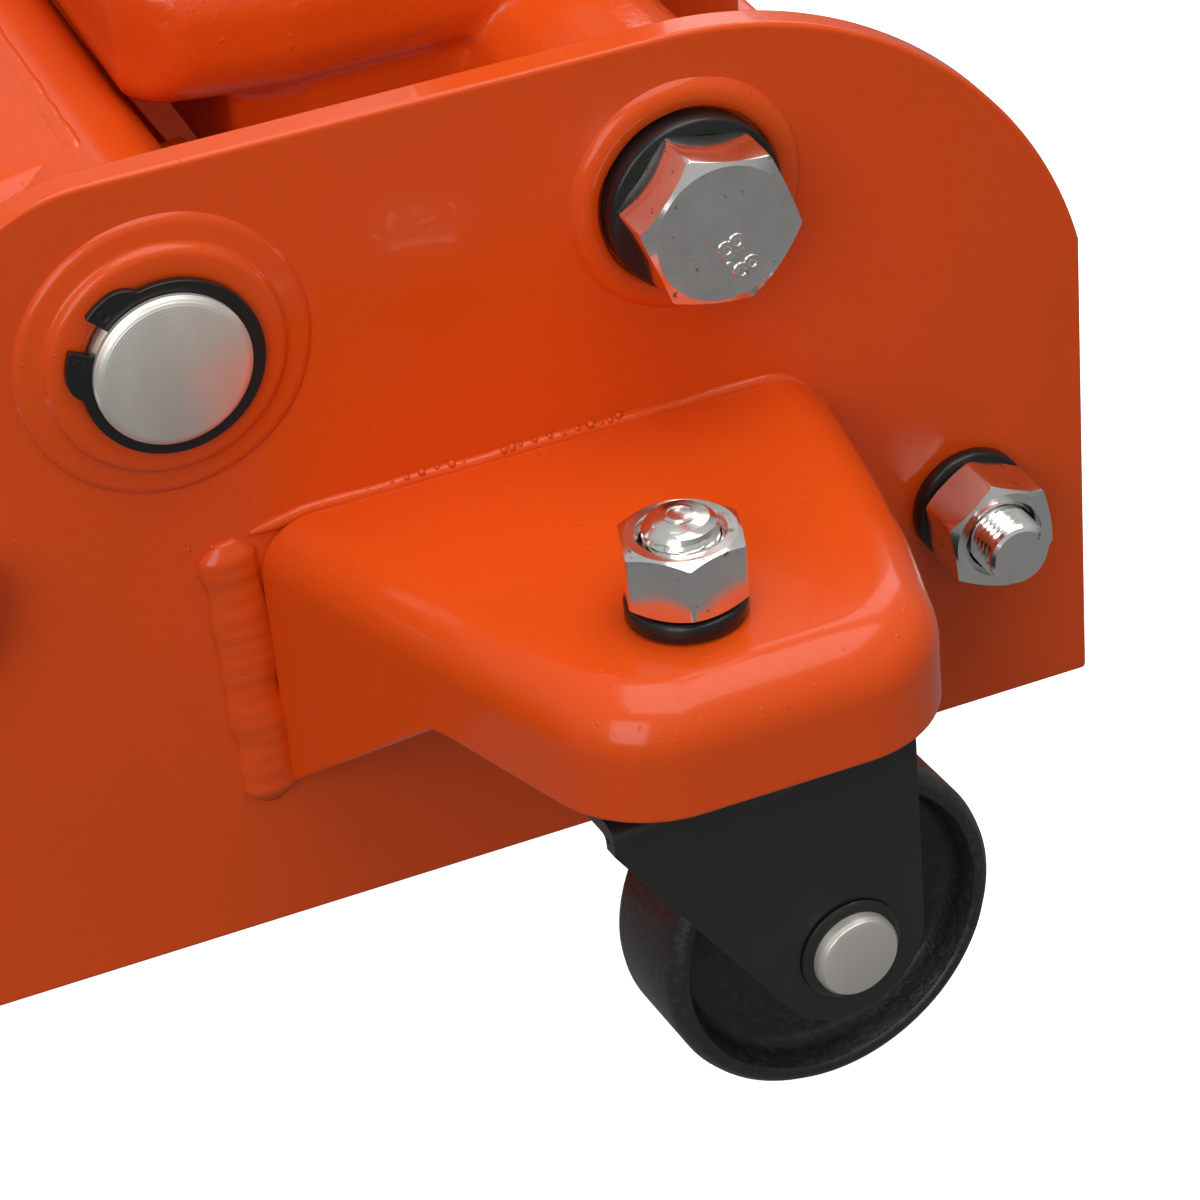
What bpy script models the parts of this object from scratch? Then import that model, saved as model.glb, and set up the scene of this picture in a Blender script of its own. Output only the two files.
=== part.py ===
"""Hydraulic trolley jack with swivel casters, modelled in metres with +Z up.

The front (saddle) end points along -Y, the rear (handle) end along +Y, and the left-hand side is +X.
Places are measured along Y from the lift arm's pivot and up from the floor; the root empty then
moves everything so that the origin is the middle of the whole jack's footprint.
"""

import math

import bmesh
import bpy
from mathutils import Matrix, Vector

# Fits
GAP = 0.0003            # between faces that rest on each other, and around fixed shanks
RUNNING = 0.0003        # radial clearance of a turning or sliding shaft

# Chassis plates
HALF_WIDTH = 0.110      # middle plane to a side plate's outer face
PLATE = 0.006
PLATE_TOP = 0.155
PLATE_BOTTOM = 0.0138
PLATE_REAR = 0.1554
REAR_CORNER_RADIUS = 0.073
REAR_CORNER_AT = 0.0846
SHOULDER_AT = -0.008
SHOULDER_RADIUS = 0.030
SHOULDER_SLOPE = 27.0
WAIST_AT = -0.150
CROSS_PLATE = 0.006

# Front axle and wheels
FRONT_AXLE_AT = -0.460
FRONT_AXLE_RADIUS = 0.010
FRONT_WHEEL_RADIUS = 0.038
FRONT_WHEEL_WIDTH = 0.038
FRONT_WHEEL_GAP = 0.002
AXLE_HEAD_RADIUS = 0.0135
AXLE_HEAD = 0.0055

# Lift arm and its pivot shaft
PIVOT_HEIGHT = 0.124
SHAFT_RADIUS = 0.0125
SHAFT_PROUD = 0.0065
HUB_RADIUS = 0.0185
HUB_HALF_LENGTH = 0.102
BOSS_RADIUS = 0.0234
BOSS_HEIGHT = 0.0026
CIRCLIP_RADIUS = 0.0149
CIRCLIP = 0.0014
SADDLE_AT = -0.390
SADDLE_PIVOT_HEIGHT = 0.084
WEB_INNER = 0.046
WEB = 0.008
WEB_DEPTH = 0.024
WEB_TIP_RADIUS = 0.017
ARM_PLATE = 0.005
ARM_PLATE_HALF = 0.080
ARM_NOSE_HALF = 0.058
ARM_FLARE_FROM = 0.070
ARM_FLARE_TO = 0.190
ARM_PLATE_SHORT = 0.064
LEVER_INNER = 0.0185
LEVER = 0.008
LEVER_LENGTH = 0.0689
LEVER_ANGLE = 31.0      # behind straight down, at rest
LEVER_TIP_RADIUS = 0.014

# Ram and cylinder
RAM_RADIUS = 0.017
RAM_LENGTH = 0.090
RAM_HEIGHT = 0.062
ROLLER_RADIUS = 0.015
ROLLER_TRUNNION = 0.007
ROLLER_TO_RAM = 0.0012
CYLINDER_RADIUS = 0.028
CYLINDER_AHEAD = 0.0014
CYLINDER_LENGTH = 0.097
CYLINDER_END = 0.004

# Saddle and levelling links
SEAT_HALF = 0.0455
SEAT_CHEEK = 0.015
SEAT_PIN_RADIUS = 0.008
SEAT_TOP = 0.108
SEAT_POST_RADIUS = 0.027
SADDLE_RADIUS = 0.048
SADDLE_FLOOR = 0.008
SADDLE_LIP = 0.008
SADDLE_LIP_HEIGHT = 0.0215
SADDLE_STEM_RADIUS = 0.012
SADDLE_STEM = 0.012
PAD = 0.0175
LINK_BACK = 0.046       # the links' pivots lie this far ahead of the arm's
LINK_BELOW = 0.0296     # and this far below them
LINK_INNER = 0.076
LINK = 0.010
LINK_END_RADIUS = 0.0125
LINK_PIN_RADIUS = 0.007

# Power unit
UNIT_FRONT = 0.0145
UNIT_REAR = 0.128
UNIT_BOTTOM = 0.135
UNIT_TOP = 0.161
UNIT_HALF = 0.064
UNIT_CORNER = 0.009
BELLY_FRONT = 0.031
BELLY_REAR = 0.110
BELLY_HALF = 0.061
BELLY_BOTTOM = 0.112
BELLY_LAP = 0.012       # the belly reaches this far up into the tank
BLOCK_FRONT = 0.055
BLOCK_HALF = 0.040
BLOCK_BOTTOM = 0.028
BLOCK_REAR = 0.1495
BLOCK_SHELF = 0.096
TRUNNION_RADIUS = 0.019
UNIT_BOLT_AT = 0.0864
UNIT_BOLT_HEIGHT = 0.1276
UNIT_BOLT_RADIUS = 0.008
UNIT_BOLT_REACH = 0.048
UNIT_BOLT_HEAD = 0.010
UNIT_BOLT_FLATS = 0.024
UNIT_WASHER_RADIUS = 0.0146
UNIT_WASHER = 0.0047
UNIT_BOSS_RADIUS = 0.0195
UNIT_BOSS_HEIGHT = 0.0015

# Handle yoke, pump and release valve
YOKE_AT = 0.092
YOKE_HEIGHT = 0.172
YOKE_REST = 75.0        # handle's slope at rest
SLOT_HALF = 0.028
SLOT_FLOOR = 0.150
SLOT_FRONT = 0.050
EAR = 0.016
EAR_RADIUS = 0.016
CHEEK_INNER = 0.017
CHEEK = 0.010
CHEEK_RADIUS = 0.014
STUB_RADIUS = 0.007
STUB_HEAD_RADIUS = 0.010
STUB_HEAD = 0.0055
PUMP_ROLLER_RADIUS = 0.008
PUMP_CRANK = 0.024
CRANK_PIN_RADIUS = 0.005
PUMP_CRANK_ANGLE = 30.0  # above level, at rest
PUMP_CRANK_MEAN = 0.0225
PLUNGER_RADIUS = 0.009
PLUNGER_LENGTH = 0.050
PLUNGER_GAP = 0.0005
PLUNGER_STROKE = 0.0225
VALVE_SLOPE = 50.0
VALVE_RADIUS = 0.006
VALVE_FROM = 0.012
VALVE_TO = 0.055

# Handle
SOCKET_FROM = 0.028
SOCKET_TO = 0.095
SOCKET_WALL = 0.006
HANDLE_RADIUS = 0.016
HANDLE_WALL = 0.0025
HANDLE_LOWER_TOP = 0.500
HANDLE_OVERLAP = 0.080
HANDLE_TOP = 0.930
GRIP_LENGTH = 0.140
GRIP_WALL = 0.0035
GRIP_CAP = 0.010
TONGUE_RADIUS = 0.005
TONGUE_FROM = 0.009

# Power unit's lower studs, and the levelling-link bolts
STUD_AT = 0.133
STUD_HEIGHT = 0.056
STUD_RADIUS = 0.006
STUD_PROUD = 0.020
STUD_REACH = 0.040
LUG_RADIUS = 0.013
LINK_BOLT_HEAD = 0.0095
LINK_BOLT_FLATS = 0.0235

# Nuts, shared by the studs and the caster stems
NUT_FLATS = 0.018
NUT_HEIGHT = 0.0108
NUT_WASHER_RADIUS = 0.0092
NUT_WASHER = 0.0031
STUD_WASHER_RADIUS = 0.0100
STUD_WASHER = 0.0025

# Caster brackets
BRACKET_TOP = 0.0902
BRACKET_SKIRT = 0.070
BRACKET_TOE = 0.040
BRACKET_FRONT = 0.0095
BRACKET_REAR = 0.113
BRACKET_NOSE_FRONT = 0.038
BRACKET_NOSE_REAR = 0.093
BRACKET_REACH = 0.078
BRACKET_METAL = 0.0055
BRACKET_CORNER = 0.016
BRACKET_BEND = 0.007
TOE_REACH = 0.038

# Casters
CASTER_AT = 0.0597
CASTER_REACH = 0.0555
CASTER_TRAIL = 0.0164
CASTER_TURN = 4.8
CASTER_WHEEL_RADIUS = 0.029
CASTER_WHEEL_WIDTH = 0.020
CASTER_HUB_RADIUS = 0.011
CASTER_RIM = 0.0035
CASTER_RECESS = 0.0065
CASTER_AXLE_RADIUS = 0.006
CASTER_RIVET_RADIUS = 0.0072
CASTER_RIVET = 0.0034
FORK_METAL = 0.003
FORK_GAP = 0.0015
FORK_TIP_RADIUS = 0.0135
FORK_FRONT = 0.022
FORK_CROWN_TOP = 0.0677
FORK_CROWN = 0.0037
FORK_STEP = 0.0006      # the cheeks stand this far outside the crown and below its top
STEM_RADIUS = 0.006
STEM_HEAD_RADIUS = 0.009
STEM_HEAD = 0.0037
STEM_PROUD = 0.003
RACE_RADIUS = 0.0165
CROWN_RADIUS = 0.018
RACE_BORE = 0.0125

# Return springs
SPRING_RADIUS = 0.006
SPRING_SIDE = 0.065
SPRING_POST_RADIUS = 0.004
SPRING_POST_ALONG = 0.070
SPRING_POST_BELOW = 0.010
SPRING_LUG_AT = -0.150
SPRING_LUG_TOP = 0.034
SPRING_CLEAR = 0.008
BRACE_LENGTH = 0.080

STEPS = 20              # sides of a plain turned piece
WHEEL_STEPS = 28
SMALL_STEPS = 12
SIDE_TURN = (math.radians(90), 0.0, math.radians(90))   # local X, Y, Z become world Y, Z, X
ALONG_TURN = (math.radians(-90), 0.0, 0.0)              # local Z becomes world Y
SIDES = (("L", 1.0), ("R", -1.0))

for old in list(bpy.data.objects):
    bpy.data.objects.remove(old, do_unlink=True)

jack = bpy.data.collections.new("trolley_jack")
cutters = bpy.data.collections.new("cutters")
for group in (jack, cutters):
    bpy.context.scene.collection.children.link(group)


def make_material(name, colour, roughness, metallic):
    material = bpy.data.materials.new(name)
    material.use_nodes = True
    shader = material.node_tree.nodes["Principled BSDF"]
    shader.inputs["Base Color"].default_value = (*colour, 1.0)
    shader.inputs["Roughness"].default_value = roughness
    shader.inputs["Metallic"].default_value = metallic
    material.diffuse_color = (*colour, 1.0)
    return material


PAINT = make_material("orange_paint", (0.72, 0.08, 0.008), 0.25, 0.0)
ZINC = make_material("zinc_plate", (0.62, 0.60, 0.55), 0.3, 1.0)
TURNED = make_material("turned_steel", (0.58, 0.55, 0.48), 0.4, 1.0)
OXIDE = make_material("black_oxide", (0.02, 0.02, 0.02), 0.4, 0.6)
BLACK_PAINT = make_material("black_paint", (0.012, 0.012, 0.013), 0.35, 0.0)
IRON = make_material("black_cast_iron", (0.015, 0.015, 0.015), 0.6, 0.2)
CHROME = make_material("ground_chrome", (0.75, 0.75, 0.76), 0.12, 1.0)
RUBBER = make_material("black_rubber", (0.02, 0.02, 0.02), 0.8, 0.0)


def new_object(name, data, material=None):
    """Wrap data in an object that is either a named part or, without a material, a helper shape."""
    shape = bpy.data.objects.new(name, data)
    (jack if material else cutters).objects.link(shape)
    if material:
        data.materials.append(material)
    else:
        shape.hide_render = True
        shape.display_type = "WIRE"
    return shape


def empty(name, place, parent=None, turn=(0.0, 0.0, 0.0)):
    axis = bpy.data.objects.new(name, None)
    axis.empty_display_size = 0.02
    axis.location = place
    axis.rotation_euler = turn
    axis.parent = parent
    jack.objects.link(axis)
    return axis


def put(shape, parent, place=(0.0, 0.0, 0.0), turn=(0.0, 0.0, 0.0)):
    shape.parent = parent
    shape.location = place
    shape.rotation_euler = turn
    return shape


def turned(name, profile, material=None, steps=STEPS, ring=False):
    """Spin a profile of (radius, height) points about local Z. It runs down its outer side."""
    mesh = bpy.data.meshes.new(name)
    count = len(profile)
    last = count if ring else count - 1
    links = [(i, (i + 1) % count) for i in range(last)]
    mesh.from_pydata([(r, 0.0, h) for r, h in profile], links, [])
    shape = new_object(name, mesh, material)
    spin = shape.modifiers.new("spin", "SCREW")
    spin.axis = "Z"
    spin.steps = steps
    spin.render_steps = steps
    spin.use_merge_vertices = True
    spin.merge_threshold = 0.00001
    spin.use_smooth_shade = True
    return shape


def rod_profile(radius, low, high, chamfer=0.0):
    if chamfer:
        top = [(0.0, high), (radius - chamfer, high), (radius, high - chamfer)]
        bottom = [(radius, low + chamfer), (radius - chamfer, low), (0.0, low)]
    else:
        top = [(0.0, high), (radius, high)]
        bottom = [(radius, low), (0.0, low)]
    return top + bottom


def tube_profile(outer, inner, low, high):
    return [(outer, high), (outer, low), (inner, low), (inner, high)]


def rod(name, radius, low, high, material=None, chamfer=0.0, steps=STEPS):
    return turned(name, rod_profile(radius, low, high, chamfer), material, steps)


def arc(centre, radius, start, end, steps):
    """Points on an arc, from one angle to another in degrees, both ends included."""
    angles = [math.radians(start + (end - start) * i / steps) for i in range(steps + 1)]
    return [(centre[0] + radius * math.cos(a), centre[1] + radius * math.sin(a)) for a in angles]


def rounded(corners, steps=5):
    """A closed outline from (x, y, radius) corners, each rounded by an arc that touches both sides."""
    outline = []
    for i, (x, y, radius) in enumerate(corners):
        here = Vector((x, y))
        if radius == 0.0:
            outline.append((x, y))
            continue
        back = (Vector(corners[i - 1][:2]) - here).normalized()
        ahead = (Vector(corners[(i + 1) % len(corners)][:2]) - here).normalized()
        half = back.angle(ahead) / 2
        middle = here + (back + ahead).normalized() * radius / math.sin(half)
        start = here + back * radius / math.tan(half) - middle
        sweep = start.angle_signed(here + ahead * radius / math.tan(half) - middle)
        for k in range(steps + 1):
            spoke = Matrix.Rotation(-sweep * k / steps, 2) @ start
            outline.append(tuple(middle + spoke))
    return outline


def around(circles, steps=16):
    """The tightest convex outline around circles given as (x, y, radius)."""
    points = sorted(
        {p for x, y, r in circles for p in (arc((x, y), r, 0, 360, steps) if r else [(x, y)])}
    )

    def chain(ordered):
        side = []
        for p in ordered:
            while len(side) > 1:
                (ax, ay), (bx, by) = side[-2], side[-1]
                if (bx - ax) * (p[1] - ay) - (by - ay) * (p[0] - ax) > 1e-12:
                    break
                side.pop()
            side.append(p)
        return side[:-1]

    return chain(points) + chain(points[::-1])


def plate(name, outline, thickness, material=None):
    """A flat plate of this outline, lying in local XY with its middle at local Z 0."""
    curve = bpy.data.curves.new(name, "CURVE")
    curve.dimensions = "2D"
    curve.fill_mode = "BOTH"
    curve.extrude = thickness / 2
    spline = curve.splines.new("POLY")
    spline.points.add(len(outline) - 1)
    for point, (x, y) in zip(spline.points, outline, strict=True):
        point.co = (x, y, 0.0, 1.0)
    spline.use_cyclic_u = True
    flat = bpy.data.objects.new(name, curve)
    jack.objects.link(flat)
    mesh = bpy.data.meshes.new_from_object(flat.evaluated_get(bpy.context.evaluated_depsgraph_get()))
    bpy.data.objects.remove(flat, do_unlink=True)
    bpy.data.curves.remove(curve)
    solid = bmesh.new()
    solid.from_mesh(mesh)
    bmesh.ops.remove_doubles(solid, verts=solid.verts, dist=0.00001)
    bmesh.ops.recalc_face_normals(solid, faces=solid.faces)
    solid.to_mesh(mesh)
    solid.free()
    mesh.name = name
    return new_object(name, mesh, material)


def block(name, low, high, material=None):
    """A box between two corners, with its own origin at the frame's origin."""
    solid = bmesh.new()
    bmesh.ops.create_cube(solid, size=1.0)
    size = Vector(high) - Vector(low)
    bmesh.ops.scale(solid, vec=size, verts=solid.verts)
    bmesh.ops.translate(solid, vec=Vector(low) + size / 2, verts=solid.verts)
    mesh = bpy.data.meshes.new(name)
    solid.to_mesh(mesh)
    solid.free()
    return new_object(name, mesh, material)


def hexagon(flats):
    return arc((0.0, 0.0), flats / math.sqrt(3.0), 0, 300, 5)


def combine(target, others, operation):
    """One exact Boolean step between the target and all the other shapes together."""
    tools = bpy.data.collections.new(target.name + "_" + operation.lower())
    cutters.children.link(tools)
    for other in others:
        tools.objects.link(other)
        cutters.objects.unlink(other)
    step = target.modifiers.new(operation.lower(), "BOOLEAN")
    step.operation = operation
    step.solver = "EXACT"
    step.operand_type = "COLLECTION"
    step.collection = tools


def cut(target, *others):
    combine(target, others, "DIFFERENCE")


def join(target, *others):
    combine(target, others, "UNION")


def bore(name, radius, low, high, steps=SMALL_STEPS):
    """A round cutter whose flat sides, and not its corners, stand at this radius."""
    return rod(name, radius / math.cos(math.pi / steps), low, high, steps=steps)


def hole(name, parent, place, radius, depth, turn=SIDE_TURN, steps=SMALL_STEPS):
    """A bore centred on place, reaching depth to each side along its turned axis."""
    return put(bore(name, radius, -depth, depth, steps), parent, place, turn)


def bend(shape, width, segments=3, angle=40.0):
    edge = shape.modifiers.new("bend", "BEVEL")
    edge.width = width
    edge.segments = segments
    edge.limit_method = "ANGLE"
    edge.angle_limit = math.radians(angle)


root = empty("jack_root", (0.0, 0.0, 0.0))
LINK_BOLT_AT = -LINK_BACK
LINK_BOLT_HEIGHT = PIVOT_HEIGHT - LINK_BELOW
LINK_PIN_AT = SADDLE_AT - LINK_BACK
LINK_PIN_HEIGHT = SADDLE_PIVOT_HEIGHT - LINK_BELOW
INSIDE = HALF_WIDTH - PLATE


def side_outline():
    centre = (REAR_CORNER_AT, PLATE_TOP - REAR_CORNER_RADIUS)
    kink = math.degrees(math.acos((PLATE_REAR - REAR_CORNER_AT) / REAR_CORNER_RADIUS))
    outline = [(PLATE_REAR, PLATE_BOTTOM)]
    outline += arc(centre, REAR_CORNER_RADIUS, kink, 90, 10)
    shoulder = (SHOULDER_AT, PLATE_TOP - SHOULDER_RADIUS)
    outline += arc(shoulder, SHOULDER_RADIUS, 90, 90 + SHOULDER_SLOPE, 5)
    last = outline[-1]
    drop = (last[0] - WAIST_AT) * math.tan(math.radians(SHOULDER_SLOPE))
    outline.append((WAIST_AT, last[1] - drop))
    nose = (FRONT_AXLE_AT, FRONT_WHEEL_RADIUS)
    outline += arc(nose, FRONT_WHEEL_RADIUS - PLATE_BOTTOM, 95, 270, 12)
    return outline


def build_side_plate(mark, side):
    middle = side * (HALF_WIDTH - PLATE / 2)
    panel = put(plate("side_plate_" + mark, side_outline(), PLATE, PAINT), root, (middle, 0, 0), SIDE_TURN)
    face = side * HALF_WIDTH
    turn = (math.radians(90), 0.0, side * math.radians(90))
    sunk = -PLATE / 2
    boss_step = BOSS_RADIUS - 0.0045
    pivot_boss = turned(
        "pivot_boss_" + mark,
        [
            (boss_step - 0.001, BOSS_HEIGHT), (boss_step, BOSS_HEIGHT - 0.0006),
            (BOSS_RADIUS - 0.001, BOSS_HEIGHT / 2), (BOSS_RADIUS, 0.0), (BOSS_RADIUS, sunk),
            (SHAFT_RADIUS + GAP, sunk), (SHAFT_RADIUS + GAP, BOSS_HEIGHT),
        ],
        ring=True,
    )
    put(pivot_boss, root, (face, 0.0, PIVOT_HEIGHT), turn)
    bolt_boss = turned(
        "bolt_boss_" + mark,
        [
            (UNIT_BOSS_RADIUS - 0.001, UNIT_BOSS_HEIGHT), (UNIT_BOSS_RADIUS, 0.0), (UNIT_BOSS_RADIUS, sunk),
            (UNIT_WASHER_RADIUS + 0.0006, sunk), (UNIT_WASHER_RADIUS + 0.0006, UNIT_BOSS_HEIGHT),
        ],
        ring=True,
    )
    put(bolt_boss, root, (face, UNIT_BOLT_AT, UNIT_BOLT_HEIGHT), turn)
    join(panel, pivot_boss, bolt_boss)
    holes = (
        ("shaft", 0.0, PIVOT_HEIGHT, SHAFT_RADIUS),
        ("unit_bolt", UNIT_BOLT_AT, UNIT_BOLT_HEIGHT, UNIT_BOLT_RADIUS),
        ("stud", STUD_AT, STUD_HEIGHT, STUD_RADIUS),
        ("link_bolt", LINK_BOLT_AT, LINK_BOLT_HEIGHT, LINK_PIN_RADIUS),
        ("axle", FRONT_AXLE_AT, FRONT_WHEEL_RADIUS, FRONT_AXLE_RADIUS),
    )
    cut(panel, *(
        hole(name + "_hole_" + mark, root, (middle, along, height), radius + GAP, 0.02)
        for name, along, height, radius in holes
    ))


def build_floor_brace():
    reach = INSIDE - GAP
    top = PLATE_BOTTOM + CROSS_PLATE
    middle = SPRING_LUG_AT
    low = (-reach, middle - BRACE_LENGTH / 2, PLATE_BOTTOM)
    high = (reach, middle + BRACE_LENGTH / 2, top)
    brace = put(block("floor_brace", low, high, PAINT), root)
    ear = around([(middle, SPRING_LUG_TOP - 0.006, 0.006), (middle - 0.010, top - 0.002, 0.0),
                  (middle + 0.010, top - 0.002, 0.0)])
    join(brace, *(
        put(plate("spring_lug_" + mark, ear, 0.005), root, (side * SPRING_SIDE, 0, 0), SIDE_TURN)
        for mark, side in SIDES
    ))


def build_shaft():
    end = HALF_WIDTH + SHAFT_PROUD
    shaft = rod("pivot_shaft", SHAFT_RADIUS, -end, end, TURNED, chamfer=0.0008, steps=WHEEL_STEPS)
    put(shaft, root, (0.0, 0.0, PIVOT_HEIGHT), SIDE_TURN)
    bore = SHAFT_RADIUS + GAP
    lug_at = (180, 214)
    for mark, side in SIDES:
        outline = arc((0, 0), CIRCLIP_RADIUS, lug_at[1], 360 + lug_at[0], 24)
        tip = CIRCLIP_RADIUS + 0.0022
        outline += arc((0, 0), tip, lug_at[0] - 2, lug_at[0] + 8, 3)
        outline += arc((0, 0), bore, lug_at[0] + 8, lug_at[1] - 8 - 360, 24)
        outline += arc((0, 0), tip, lug_at[1] - 8, lug_at[1] + 2, 3)
        clip = plate("pivot_circlip_" + mark, outline, CIRCLIP, OXIDE)
        face = side * (HALF_WIDTH + BOSS_HEIGHT + GAP + CIRCLIP / 2)
        put(clip, root, (face, 0.0, PIVOT_HEIGHT), SIDE_TURN)


def build_front_axle():
    inner = HALF_WIDTH + FRONT_WHEEL_GAP
    outer = inner + FRONT_WHEEL_WIDTH
    head = outer + GAP
    profile = [
        (0.0, head + AXLE_HEAD), (AXLE_HEAD_RADIUS - 0.001, head + AXLE_HEAD), (AXLE_HEAD_RADIUS, head + 0.004),
        (AXLE_HEAD_RADIUS, head), (FRONT_AXLE_RADIUS, head), (FRONT_AXLE_RADIUS, -head),
        (AXLE_HEAD_RADIUS, -head), (AXLE_HEAD_RADIUS, -head - 0.004),
        (AXLE_HEAD_RADIUS - 0.001, -head - AXLE_HEAD), (0.0, -head - AXLE_HEAD),
    ]
    put(turned("front_axle", profile, TURNED), root, (0, FRONT_AXLE_AT, FRONT_WHEEL_RADIUS), SIDE_TURN)
    rim = FRONT_WHEEL_RADIUS
    half = FRONT_WHEEL_WIDTH / 2
    bore = FRONT_AXLE_RADIUS + RUNNING
    recess = 0.006
    upper = [(bore + 0.008, half), (bore + 0.010, half - recess), (rim - 0.007, half - recess),
             (rim - 0.005, half), (rim - 0.0015, half), (rim, half - 0.0015)]
    lower = [(r, -h) for r, h in reversed(upper)]
    profile = upper + lower + [(bore, -half), (bore, half)]
    for mark, side in SIDES:
        place = (side * (inner + half), FRONT_AXLE_AT, FRONT_WHEEL_RADIUS)
        wheel = turned("front_wheel_" + mark, profile, IRON, steps=WHEEL_STEPS, ring=True)
        put(wheel, root, place, SIDE_TURN)


def build_studs():
    """The two screwed studs that fasten the power unit's lower lugs to the side plates."""
    end = HALF_WIDTH + STUD_PROUD
    inner = HALF_WIDTH - STUD_REACH
    for mark, side in SIDES:
        turn = (math.radians(90), 0.0, side * math.radians(90))
        profile = [(0.0, end), (STUD_RADIUS - 0.0008, end), (STUD_RADIUS, end - 0.001), (STUD_RADIUS, inner),
                   (0.0, inner)]
        stud = turned("unit_stud_" + mark, profile, ZINC)
        put(stud, root, (0.0, STUD_AT, STUD_HEIGHT), turn)
        washer_at = HALF_WIDTH + GAP
        thread = STUD_RADIUS + GAP
        ring = turned("stud_washer_" + mark, tube_profile(STUD_WASHER_RADIUS, thread, 0.0, STUD_WASHER), OXIDE,
                      ring=True)
        put(ring, root, (side * washer_at, STUD_AT, STUD_HEIGHT), turn)
        nut_middle = washer_at + STUD_WASHER + GAP + NUT_HEIGHT / 2
        build_nut("stud_nut_" + mark, (side * nut_middle, STUD_AT, STUD_HEIGHT), SIDE_TURN, thread)


def build_nut(name, place, turn, thread):
    nut = put(plate(name, hexagon(NUT_FLATS), NUT_HEIGHT, ZINC), root, place, turn)
    cut(nut, hole(name + "_thread", root, place, thread, NUT_HEIGHT, turn))


def build_bolt(name, side, along, height, radius, flats, head, rests_at, reach):
    """A hexagon-headed bolt that points inwards from one side of the jack."""
    middle = side * (rests_at + head / 2)
    bolt = put(plate(name, hexagon(flats), head, ZINC), root, (middle, along, height), SIDE_TURN)
    low, high = sorted((side * (rests_at - reach), side * (rests_at + head / 2)))
    shank = rod(name + "_shank", radius, low, high, steps=SMALL_STEPS)
    join(bolt, put(shank, root, (0.0, along, height), SIDE_TURN))
    return bolt


def build_unit_bolts():
    for mark, side in SIDES:
        face = HALF_WIDTH + GAP
        bore = UNIT_BOLT_RADIUS + GAP
        turn = (math.radians(90), 0.0, side * math.radians(90))
        ring = turned("unit_bolt_washer_" + mark, tube_profile(UNIT_WASHER_RADIUS, bore, 0.0, UNIT_WASHER),
                      OXIDE, ring=True)
        put(ring, root, (side * face, UNIT_BOLT_AT, UNIT_BOLT_HEIGHT), turn)
        build_bolt("unit_bolt_" + mark, side, UNIT_BOLT_AT, UNIT_BOLT_HEIGHT, UNIT_BOLT_RADIUS,
                   UNIT_BOLT_FLATS, UNIT_BOLT_HEAD, face + UNIT_WASHER + GAP, UNIT_BOLT_REACH)
        build_bolt("link_bolt_" + mark, side, LINK_BOLT_AT, LINK_BOLT_HEIGHT, LINK_PIN_RADIUS,
                   LINK_BOLT_FLATS, LINK_BOLT_HEAD, face, face - LINK_INNER + 0.004)


def build_bracket(mark, side):
    """A pressed bracket welded to the side plate, open below and towards the plate."""
    def plan(inset, near):
        reach = HALF_WIDTH + BRACKET_REACH - inset
        slant_front = (BRACKET_NOSE_FRONT - BRACKET_FRONT) / BRACKET_REACH
        slant_rear = (BRACKET_REAR - BRACKET_NOSE_REAR) / BRACKET_REACH
        back = HALF_WIDTH - near
        radius = BRACKET_CORNER - inset / 2
        return rounded([
            (BRACKET_FRONT + inset - back * slant_front, near, 0.0),
            (BRACKET_NOSE_FRONT + inset - inset * slant_front, reach, radius),
            (BRACKET_NOSE_REAR - inset + inset * slant_rear, reach, radius),
            (BRACKET_REAR - inset + back * slant_rear, near, 0.0),
        ])

    def standing(name, inset, near, low, high, material=None):
        outline = [(side * x, y) for y, x in plan(inset, near)]
        shape = plate(name, outline, high - low, material)
        return put(shape, root, (0.0, 0.0, (low + high) / 2))

    bracket = standing("caster_bracket_" + mark, 0.0, HALF_WIDTH - 0.012, BRACKET_TOE, BRACKET_TOP, PAINT)
    bend(bracket, BRACKET_BEND, angle=60.0)
    hollow = standing("hollow_" + mark, BRACKET_METAL, HALF_WIDTH - 0.02, 0.02, BRACKET_TOP - BRACKET_METAL)
    near = HALF_WIDTH + GAP
    inner = put(block("plate_side_" + mark, (-near, -0.05, 0.0), (near, 0.2, 0.15)), root)
    trim_side = [(near - 0.02, 0.0), (0.25, 0.0), (0.25, BRACKET_SKIRT), (near + TOE_REACH, BRACKET_SKIRT),
                 (near, BRACKET_TOE), (near - 0.02, BRACKET_TOE)]
    trim = plate("trim_" + mark, [(side * x, z) for x, z in trim_side], 0.3)
    put(trim, root, (0.0, 0.06, 0.0), (math.radians(90), 0.0, 0.0))
    stem = hole("stem_hole_" + mark, root, (side * (HALF_WIDTH + CASTER_REACH), CASTER_AT, BRACKET_TOP),
                STEM_RADIUS + GAP, 0.02, (0.0, 0.0, 0.0))
    cut(bracket, hollow, inner, trim, stem)


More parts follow.
